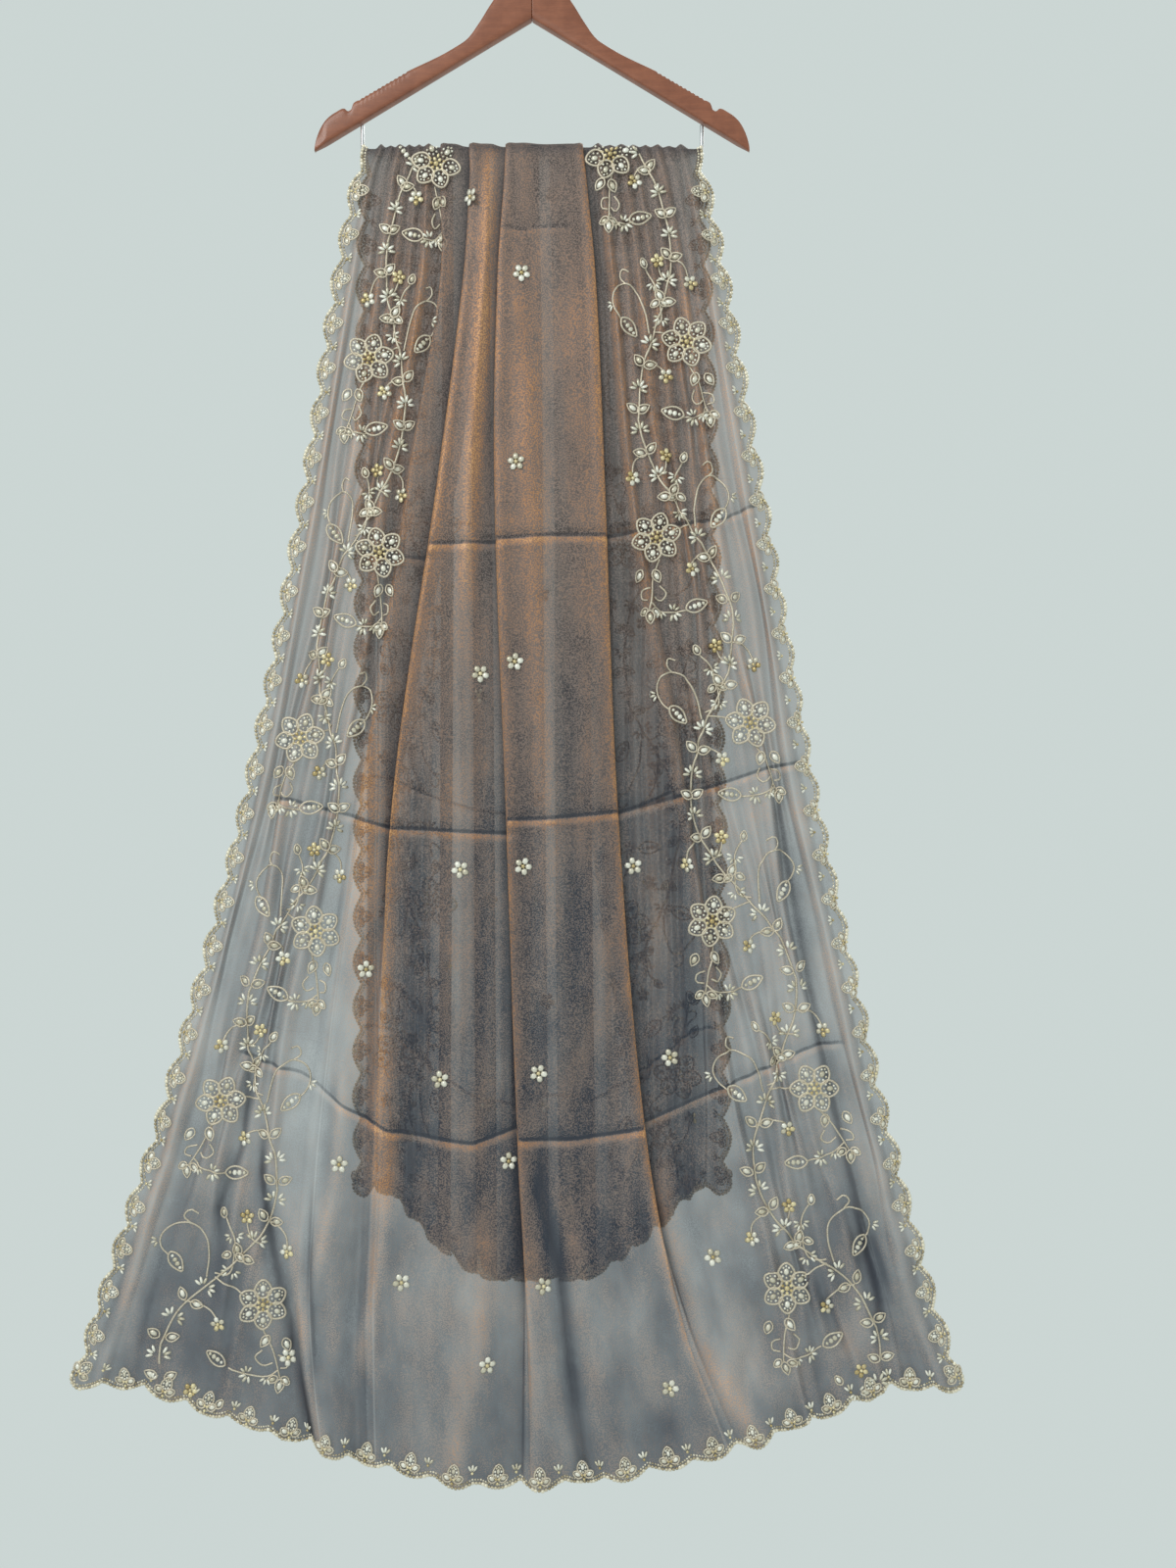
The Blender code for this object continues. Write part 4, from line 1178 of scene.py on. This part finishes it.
def many_beads(name, places, along_way, across_way, out_way, sizes, finish, slot, seed):
    """One piece of many beads. sizes are each bead's half length, half width and half height in metres."""
    axes = np.stack([along_way, across_way, out_way], axis=1) * sizes[:, :, None]
    points = places[:, None] + np.einsum("pk,bkx->bpx", BEAD_POINTS, axes)
    faces = BEAD_FACES[None] + 12 * np.arange(len(places))[:, None, None]
    tint = np.repeat(np.random.default_rng(seed).uniform(0.0, 1.0, len(places)), 12)
    return make_piece(name, points.reshape(-1, 3), faces.reshape(-1, 3), finish, slot, {"tint": tint})


def bead_finish(name, dull, bright, metallic, roughness):
    finish = Finish(name, Specular_IOR_Level=0.6, Coat_Roughness=0.08)
    tint = finish.painted("tint")
    speck = finish.noise(finish.place(), 900.0, 2.0, 0.5)
    finish.feed("Base Color", finish.mix((tint * 0.8 + speck * 0.4).between(0.2, 1.0), dull, bright))
    finish.feed("Metallic", metallic - tint * 0.25)
    finish.feed("Roughness", roughness + speck * 0.15)
    finish.feed("Coat Weight", tint * 0.6)
    return finish


silver = bead_finish("silver_beads", (0.66, 0.60, 0.46), (0.98, 0.95, 0.84), 0.40, 0.18)
cord = bead_finish("cord_beads", (0.46, 0.38, 0.24), (0.94, 0.86, 0.68), 0.5, 0.22)
gold = bead_finish("gold_beads", (0.56, 0.43, 0.20), (0.95, 0.82, 0.50), 0.6, 0.22)


# %% The edging
# In each row of beads: how far in from the edge it lies, its spacing and the half sizes of a bead.
CordRow = namedtuple("CordRow", "inward spacing half_sizes")
CORD_ROWS = (CordRow(0.0, 3.6, (2.15, 2.0, 1.5)), CordRow(3.6, 2.9, (1.35, 1.1, 1.0)))


def edge_cord(name, grid, outward, node, seed):
    """Beads along the cut edge of a fall: down the left side, along the hem and up the right side."""
    def round_the_edge(layer, inset):
        left, hem, right = layer[:, inset], layer[-1 - inset, 1:-1], layer[::-1, -1 - inset]
        return np.concatenate([left, hem, right])

    out = round_the_edge(normals_of(grid) * outward, 0)
    edge = round_the_edge(grid, 0)
    inward = unit(round_the_edge(grid, 2) - edge)
    rows = []
    for row in CORD_ROWS:
        path = edge + inward * row.inward * MM
        lengths = along(path)
        places = np.linspace(0.0, lengths[-1], int(lengths[-1] / (row.spacing * MM)))
        spots = at_lengths(places, lengths, path)
        outs = unit(at_lengths(places, lengths, out))
        way = unit(np.gradient(spots, axis=0))
        outs = unit(outs - way * np.sum(outs * way, axis=1, keepdims=True))
        large = np.random.default_rng(seed).uniform(0.85, 1.15, (len(places), 1))
        rows.append((spots, way, np.cross(outs, way), outs, large * np.array([row.half_sizes]) * MM))
    columns = [np.concatenate(column) for column in zip(*rows)]
    piece = many_beads(name, *columns, cord, "beaded_edging", seed)
    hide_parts(node)
    return piece


edging_front = edge_cord("edging_beads_front", front_grid, -1, "edging_front", 21)
edging_back = edge_cord("edging_beads_back", back_grid, 1, "edging_back", 22)

# %% [markdown]
# Both borders carry a running vine, a traditional design of this kind of work: a waving stem of metal thread
# with pairs of leaves and seed fans, and one large beaded flower in each bend. It is charted here as an
# embroiderer charts it, on the flat cloth. d is the distance from the cloth's edge and v the distance down
# from the bar, in millimetres. A heading of 0 points away from the edge, and 90 points down. The whole chart
# is then laid a little wider and shorter, so that a bend of the vine is 200 mm long, and lower at the left.


# %% The chart of the embroidery
def evenly(points, spacing):
    """Points at even steps on the smooth curve through a few points."""
    fine = refine(np.array([points], float), 6)[0]
    lengths = along(fine)
    return at_lengths(np.linspace(0, lengths[-1], max(4, int(lengths[-1] / spacing) + 1)), lengths, fine)


class Motif:
    """Stiff bead work, drawn round its own middle. It keeps its shape where the cloth is gathered.

    base is how far its base lies from its middle.
    """

    def __init__(self, draw, base, reach, *sizes):
        self.base = base
        self.reach = reach
        self.beads = {"silver": [], "gold": []}
        self.threads = []
        draw(self, (-base, 0.0), 0.0, *sizes)

    def bead(self, kind, spot, heading, half_length, half_width, half_height=0.9):
        self.beads[kind].append((*spot, heading, half_length, half_width, half_height))

    def thread(self, points, radius, spacing):
        self.threads.append((radius, evenly(points, spacing)))


class Chart:
    """What is sewn where on the flat cloth: stems that follow the cloth, and the anchors of stiff motifs."""

    def __init__(self):
        self.anchors = {}
        self.stems = []

    def sew(self, name, spot, heading):
        """Notes the middle of a motif whose base is at the spot."""
        middle = moved(spot, heading, MOTIFS[name].base)
        self.anchors.setdefault(name, []).append((*middle, heading))

    def stem(self, points, radius):
        self.stems.append((radius, evenly(points, 3.0)))


def moved(spot, heading, distance, aside=0.0):
    """The spot a distance along a heading, and some way to its side."""
    turn = math.radians(heading)
    return (spot[0] + distance * math.cos(turn) - aside * math.sin(turn),
            spot[1] + distance * math.sin(turn) + aside * math.cos(turn))


def almond(spot, heading, length, width, steps, full=0.85):
    """Points round an almond, from its base round by its tip. A smaller full makes it rounder."""
    points = []
    for i in range(2 * steps + 1):
        part = (1 - math.cos(math.pi * i / steps)) / 2
        swell = math.sin(math.pi * part**0.8) ** full if 0 < part < 1 else 0.0
        points.append(moved(spot, heading, length * part, (1 if i < steps else -1) * width / 2 * swell))
    return points


# %% Small motifs
LOOP_BEAD = 1.35


def leaf(work, spot, heading, length, width):
    """An outlined almond with a bright sequin in it."""
    work.thread(almond(spot, heading, length, width, 5), 0.85, 2.4)
    work.bead("silver", moved(spot, heading, length * 0.5), heading, length * 0.34, width * 0.32, 1.0)


def big_leaf(work, spot, heading, length, width):
    work.thread(almond(spot, heading, length, width, 6), 1.0, 2.6)
    for part, size in ((0.2, 1.8), (0.4, 2.8), (0.6, 2.9), (0.8, 2.0)):
        work.bead("silver", moved(spot, heading, length * part), heading, size * 0.95, size * 1.1, 1.1)


def fan(work, spot, heading, length):
    """Three seeds spread from one spot."""
    for turn in (-40.0, 0.0, 40.0):
        centre = moved(spot, heading + turn, 1.6 + length / 2)
        work.bead("silver", centre, heading + turn, length / 2, length * 0.19, 1.2)


def floret(work, spot, turn, size, gold_petals):
    """Five petals round a gold bead."""
    for k in range(5):
        heading = turn + 72.0 * k
        kind = "gold" if k < gold_petals else "silver"
        work.bead(kind, moved(spot, heading, 3.9 * size), heading, 2.8 * size, 2.3 * size, 1.0)
    work.bead("gold", spot, 0.0, 1.6 * size, 1.6 * size, 1.6)


def petal(work, spot, heading, length, width, radius):
    """A round petal: a thread round a loop of beads and a sequin."""
    work.thread(almond(spot, heading, length, width, 6, 0.6), radius, 2.8)
    start = moved(spot, heading, 0.2 * length)
    for place in almond(start, heading, 0.62 * length, 0.60 * width, 4, 0.6)[:-1]:
        work.bead("silver", place, heading, LOOP_BEAD, LOOP_BEAD * 0.92, LOOP_BEAD * 0.85)
    work.bead("silver", moved(spot, heading, 0.52 * length), heading, 0.21 * length, 0.18 * width, 1.2)


def flower(work, spot, turn, size):
    """A large flower with six round petals and a gold middle."""
    for k in range(6):
        heading = turn + 60.0 * k
        petal(work, moved(spot, heading, 6.0 * size), heading, 17.5 * size, 15.5 * size, 1.15)
        work.bead("gold", moved(spot, heading, 4.8 * size), heading, 2.4, 1.9, 1.6)
        work.bead("gold", moved(spot, heading + 30.0, 8.0 * size), heading + 30.0, 2.6, 1.5, 1.4)
    work.bead("gold", spot, 0.0, 3.0, 3.0, 2.4)


def edge_motif(work, spot, heading):
    """One tall petal and two small ones on a gold base, pointing into the cloth."""
    petal(work, moved(spot, heading, 2.0), heading, 15.0, 11.0, 0.9)
    for turn in (-76.0, 76.0):
        leaf(work, moved(spot, heading + turn, 1.5), heading + turn * 0.8, 10.5, 8.0)
    for turn in (-37.0, 37.0, 180.0):
        work.bead("gold", moved(spot, heading + turn, 2.4), heading + turn, 1.8, 1.5, 1.4)


def edge_sprig(work, spot, heading):
    for turn in (-32.0, 0.0, 32.0):
        work.bead("silver", moved(spot, heading + turn, 5.4), heading + turn, 3.8, 1.4, 1.1)
    work.bead("gold", spot, heading, 1.6, 1.6, 1.3)


MOTIFS = {
    "leaf": Motif(leaf, 7.0, 7.0, 14.0, 9.0),
    "small_leaf": Motif(leaf, 5.8, 6.0, 11.5, 7.4),
    "big_leaf": Motif(big_leaf, 12.0, 10.0, 24.0, 13.0),
    "fan": Motif(fan, 5.0, 6.0, 9.0),
    "small_fan": Motif(fan, 4.0, 5.0, 7.4),
    "floret": Motif(floret, 0.0, 6.0, 1.25, 2),
    "gold_floret": Motif(floret, 0.0, 6.0, 1.2, 5),
    "buti": Motif(floret, 0.0, 6.0, 1.45, 0),
    "flower": Motif(flower, 0.0, 18.0, 1.08),
    "edge_motif": Motif(edge_motif, 8.0, 9.0),
    "edge_sprig": Motif(edge_sprig, 5.0, 5.0),
}
print({name: sum(map(len, motif.beads.values())) for name, motif in MOTIFS.items()})

# %% One bend of the vine
BEND = 205.0
FIRST_BEND = -125.0
BENDS = range(-6, 8)
STEM_MIDDLE = 95.0
ON_CLOTH_MIDDLE = 110.0
WIDER, CLOSER = 1.19, 0.978
LEFT_LOWER = 17.0
STEM_SWING = 38.0
LEAFY_STALK = 3
STALKS = (
    ((88, 112), (97, 114), (108, 117), (117, 121)),
    ((81, 115), (78, 88), (72, 72), (57, 62), (43, 66), (36, 80), (40, 94), (47, 102)),
    ((57, 62), (51, 55), (55, 47), (62, 50)),
    ((87, 108), (98, 104), (101, 82), (97, 60), (87, 45)),
    ((126, 36), (137, 39), (146, 47), (149, 57)),
    ((124, 62), (114, 58), (108, 48), (107, 42)),
    ((68, 150), (78, 147), (90, 149), (96, 155)),
    ((130, 147), (138, 165), (144, 183), (149, 200)),
    ((133, 175), (128, 184), (134, 191), (141, 186)),
    ((146, 177), (155, 180), (156, 188), (149, 190)),
    ((147, 192), (136, 202), (122, 204), (110, 203)),
)
SEWN = (
    ("big_leaf", (47, 99), 50.0),
    ("leaf", (151, 158), 55.0),
    ("leaf", (137, 158), 110.0),
    ("big_leaf", (110, 202), 195.0),
    ("small_leaf", (87, 46), 250.0),
    ("small_leaf", (150, 199), 30.0),
    ("leaf", (149, 201), 90.0),
    ("small_leaf", (147, 200), 150.0),
    ("floret", (149, 62), 10.0),
    ("gold_floret", (107, 38), 40.0),
    ("floret", (97, 160), 20.0),
    ("fan", (124, 204), 110.0),
    ("small_fan", (124, 203), 250.0),
    ("small_fan", (137, 202), 95.0),
    ("small_fan", (36, 84), 165.0),
    ("flower", (131, 125), 14.0),
)


def sprays(chart, path, first, step, turn, size):
    """Pairs of leaves and of fans by turns along a stem, each pointing up the vine."""
    lengths = along(path)
    for k, place in enumerate(np.arange(first, lengths[-1] - 6.0, step)):
        spot, ahead = at_lengths([place, place + 2.0], lengths, path)
        way = math.degrees(math.atan2(spot[1] - ahead[1], spot[0] - ahead[0]))
        for heading in (way - turn, way + turn):
            chart.sew(size + ("leaf" if k % 2 else "fan"), moved(spot, heading, 1.2), heading)


def vine_bend(chart, start, mirrored):
    """One bend of the vine in a border. Every second bend is mirrored about the stem's middle."""
    bend = Chart()
    v = np.linspace(0.0, BEND, 60)
    stem = np.stack([STEM_MIDDLE + STEM_SWING * np.cos(math.pi * v / BEND), v], axis=1)
    bend.stem(stem[::6][:-1].tolist() + [stem[-1].tolist()], 1.15)
    sprays(bend, stem[:29], 12.0, 25.0, 60.0, "")
    sprays(bend, stem[34:], 10.0, 25.0, 60.0, "")
    for stalk in STALKS:
        bend.stem(stalk, 0.95)
    sprays(bend, refine(np.array([STALKS[LEAFY_STALK]], float), 8)[0], 18.0, 19.0, 58.0, "small_")
    for name, spot, heading in SEWN:
        bend.sew(name, spot, heading)
    for name, anchors in bend.anchors.items():
        for d, down, heading in anchors:
            if mirrored:
                d, heading = 2 * STEM_MIDDLE - d, 180.0 - heading
            chart.anchors.setdefault(name, []).append((d, start + down, heading))
    for radius, points in bend.stems:
        across = 2 * STEM_MIDDLE - points[:, 0] if mirrored else points[:, 0]
        chart.stems.append((radius, np.stack([across, points[:, 1] + start], axis=1)))


border = Chart()
for i in BENDS:
    vine_bend(border, FIRST_BEND + BEND * i, i % 2 == 1)
print("vine:", sum(map(len, border.anchors.values())), "motifs,", len(border.stems), "stems")

# %% [markdown]
# Inside each scallop sits a three-petalled motif, and a small sprig points in from each cusp. The plain
# middle of the cloth is powdered with small five-petalled flowers, the butis, far apart in loose rows.

# %% Rows of butis
# In each row: its depth under the bar, and how far across the flat cloth each buti is.
FRONT_BUTIS = (
    (51, (330,)), (128, (532,)), (320, (528,)), (522, (516,)), (535, (368,)), (728, (524,)),
    (735, (362, 757)), (848, (240,)), (936, (544, 770)), (949, (370,)), (1026, (476,)), (1052, (240,)),
    (1150, (540, 776)), (1160, (342,)), (1231, (450,)), (1271, (184, 682)),
)
BACK_BUTIS = (
    (40, (610,)), (140, (390,)), (240, (560, 760)), (345, (300, 470)), (450, (580, 780)), (555, (330, 480)),
    (660, (570, 770)), (765, (300, 470)), (870, (590, 780)), (975, (330, 480)), (1075, (570, 740)),
)


# %% Laying the work on the cloth
FOLD_TOP_Z = (BAR_Z + 1.5) * MM


class Laid:
    """Everything that is sewn on one fall, gathered until it is made into pieces."""

    def __init__(self, name, cloth, drop):
        self.name = name
        self.cloth = cloth
        self.drop = drop
        self.anchors = {}
        self.lines = []

    def add(self, chart, place):
        """Takes what falls on this fall. place turns chart places and headings into those of the cloth."""
        for name, anchors in chart.anchors.items():
            u, v, heading = place(*np.array(anchors, float).T)
            keep = (v > -14.0) & (v < self.drop + 8.0)
            self.anchors.setdefault(name, []).append(np.stack([u, v, heading], axis=1)[keep])
        for radius, points in chart.stems:
            u, v, _ = place(points[:, 0], points[:, 1], 0.0)
            keep = (v > 5.0) & (v < self.drop - 24.0)
            if keep.sum() > 3 and np.all(np.diff(np.flatnonzero(keep)) == 1):
                lift = np.full(keep.sum(), radius * 0.9)
                self.lines.append((radius, self.cloth.at(u[keep], v[keep], lift)[0]))

    def make(self, seed):
        """One piece of thread and one of each kind of bead."""
        beads = {"silver": [], "gold": []}
        for name, several in self.anchors.items():
            motif = MOTIFS[name]
            u, v, heading = np.concatenate(several).T
            middle, across, down, out = self.cloth.stiff(u, v, motif.reach)
            turn = np.radians(heading)[:, None]
            way = across * np.cos(turn) + down * np.sin(turn)
            side = down * np.cos(turn) - across * np.sin(turn)
            for kind, drawn in motif.beads.items():
                for x, y, own, *sizes in drawn:
                    own_turn = math.radians(own)
                    spot = middle + (way * x + side * y + out * sizes[2] * 0.6) * MM
                    bead_way = way * math.cos(own_turn) + side * math.sin(own_turn)
                    bead_sizes = np.tile(np.array(sizes) * MM, (len(spot), 1))
                    shown = spot[:, 2] < FOLD_TOP_Z
                    bead = (spot, bead_way, np.cross(out, bead_way), out, bead_sizes)
                    beads[kind].append([column[shown] for column in bead])
            for radius, points in motif.threads:
                lines = middle[:, None] + (way[:, None] * points[:, :1] + side[:, None] * points[:, 1:]) * MM
                lines = lines + out[:, None] * radius * 0.8 * MM
                self.lines += [(radius, line) for line in lines if line[:, 2].max() < FOLD_TOP_Z]
        points, faces, count = [], [], 0
        for radius, line in self.lines:
            some, around = tube(line, radius * MM, 4, False)
            points.append(some)
            faces.append(np.array(around) + count)
            count += len(some)
        thread = f"vine_thread_{self.name}"
        pieces = [make_piece(thread, np.concatenate(points), np.concatenate(faces), zari, "beaded_edging")]
        for kind, finish in (("silver", silver), ("gold", gold)):
            places = [np.concatenate(column) for column in zip(*beads[kind])]
            pieces.append(many_beads(f"{kind}_beads_{self.name}", *places, finish, "beaded_edging", seed))
        return pieces


zari = Finish("gold_thread", Metallic=0.4)
zari_place = zari.place()
strand = zari.noise(zari_place, 1100.0, 2.0, 0.6)
zari.feed("Base Color", zari.mix(strand.between(0.3, 0.7), (0.56, 0.46, 0.33), (0.92, 0.84, 0.70)))
zari.feed("Roughness", 0.30 + strand * 0.2)
zari.feed("Normal", zari.bump(strand, 0.4, 0.0004))


def lay_vines(laid, down):
    """The chart of the vine on both borders. down is 1 in front and -1 behind, where it runs up the cloth."""
    for right in (False, True):
        def in_border(d, v, heading):
            inward = ON_CLOTH_MIDDLE + (d - STEM_MIDDLE) * WIDER
            u = CLOTH_WIDTH - inward if right else inward
            turned = 180.0 - heading if right else heading
            return u, (v * CLOSER + (0.0 if right else LEFT_LOWER)) * down, turned * down
        laid.add(border, in_border)


def scallops_along(lengths):
    return round(lengths[-1] / MM / SCALLOP_PITCH)


def lay_sides(laid, columns):
    """A motif in each scallop of the two sides and a sprig at each cusp."""
    edge = Chart()
    edge.sew("edge_motif", (0.0, 0.0), 0.0)
    edge.sew("edge_sprig", (6.0, SCALLOP_PITCH / 2), 0.0)
    scallops = scallops_along(along(laid.cloth.points[:-1, columns[0]]))
    for column, flip in zip(columns, (False, True)):
        lengths = along(laid.cloth.points[:-1, column])
        for i in range(1, scallops):
            level = np.interp(lengths[-1] * (1 - i / scallops), lengths, laid.cloth.v[:-1])
            laid.add(edge, lambda d, v, heading: (CLOTH_WIDTH - d + 4.0 if flip else d - 4.0, level + v,
                                                  180.0 - heading if flip else heading))


def lay_hem(laid, columns):
    """The same along the hem, where the first and the last motif stand aslant in the corners."""
    inside = slice(columns[0], columns[1] + 1)
    lengths = along(laid.cloth.points[-2, inside])
    scallops = scallops_along(lengths)
    for i in range(scallops + 1):
        edge = Chart()
        edge.sew("edge_motif", (0.0, 0.0), -90.0)
        if i < scallops:
            edge.sew("edge_sprig", (SCALLOP_PITCH / 2, -9.0), -90.0)
        middle = np.interp(i / scallops * lengths[-1], lengths, EVEN_U[inside])
        turned = {0: 45.0, scallops: -45.0}.get(i, 0.0)
        level = laid.drop + 4.0 - (6.0 if turned else 0.0)
        laid.add(edge, lambda d, v, heading: (middle + d, level + v, heading + turned))


def lay_fall(name, cloth, drop, down, butis, seed):
    """All the work of one fall, as pieces."""
    laid = Laid(name, cloth, drop)
    rim_columns = int(RIM / 2), len(EVEN_U) - 1 - int(RIM / 2)
    lay_vines(laid, down)
    lay_sides(laid, rim_columns)
    lay_hem(laid, rim_columns)
    field = Chart()
    for level, places in butis:
        for u in places:
            field.sew("buti", (u, level), 11.0 * u)
    laid.add(field, lambda u, v, heading: (u, v, heading))
    return laid.make(seed)


front_work = lay_fall("front", front_cloth, FRONT.drop, 1, FRONT_BUTIS, 31)
back_work = lay_fall("back", back_cloth, BACK.drop, -1, BACK_BUTIS, 32)

# %% [markdown]
# The camera stands level with the middle of the stole, as the photograph was taken. Two large soft lights
# and a pale world stand for a bright room, and a pale floor lies well under the hem, out of the picture.

# %% Studio
world = bpy.data.worlds.new("pale_room")
world.use_nodes = True
world.node_tree.nodes["Background"].inputs["Color"].default_value = (0.60, 0.67, 0.655, 1.0)
world.node_tree.nodes["Background"].inputs["Strength"].default_value = 1.0
bpy.context.scene.world = world
bpy.context.scene.view_settings.view_transform = "Standard"
bpy.context.scene.cycles.transparent_max_bounces = 32


def soft_light(name, place, turn, size, watts, colour):
    light = bpy.data.lights.new(name, "AREA")
    light.shape = "RECTANGLE"
    light.size, light.size_y = size
    light.energy = watts
    light.color = colour
    lamp = bpy.data.objects.new(name, light)
    lamp.location = place
    lamp.rotation_euler = [math.radians(angle) for angle in turn]
    bpy.context.scene.collection.objects.link(lamp)


soft_light("window", (-1.3, -1.9, 0.6), (52, 0, -34), (1.2, 1.6), 26.0, (1.0, 0.98, 0.95))
soft_light("ceiling", (0.9, 1.2, 0.9), (-38, 0, -24), (1.4, 1.4), 14.0, (1.0, 0.97, 0.94))

floor_turn = np.linspace(0, 2 * math.pi, 96, endpoint=False)
floor_mesh = bpy.data.meshes.new("floor")
floor_points = np.stack([0.85 * np.cos(floor_turn), 0.85 * np.sin(floor_turn), -2.3 + 0 * floor_turn], axis=1)
floor_mesh.from_pydata(floor_points.tolist(), [], [list(range(96))])
floor = bpy.data.objects.new("floor", floor_mesh)
floor_paint = Finish("pale_floor", Roughness=0.85)
shades = floor_paint.noise(floor_paint.place(), 4.0)
floor_paint.feed("Base Color", floor_paint.mix(shades, (0.68, 0.69, 0.68), (0.74, 0.75, 0.74)))
floor_mesh.materials.append(floor_paint.material)
bpy.context.scene.collection.objects.link(floor)

camera_data = bpy.data.cameras.new("camera")
camera_data.sensor_width = 36.0
camera_data.lens = 31.5
camera = bpy.data.objects.new("camera", camera_data)
camera.location = (0.057, -1.4, -0.8937)
camera.rotation_euler = (math.pi / 2, 0.0, 0.0)
bpy.context.scene.collection.objects.link(camera)
bpy.context.scene.camera = camera
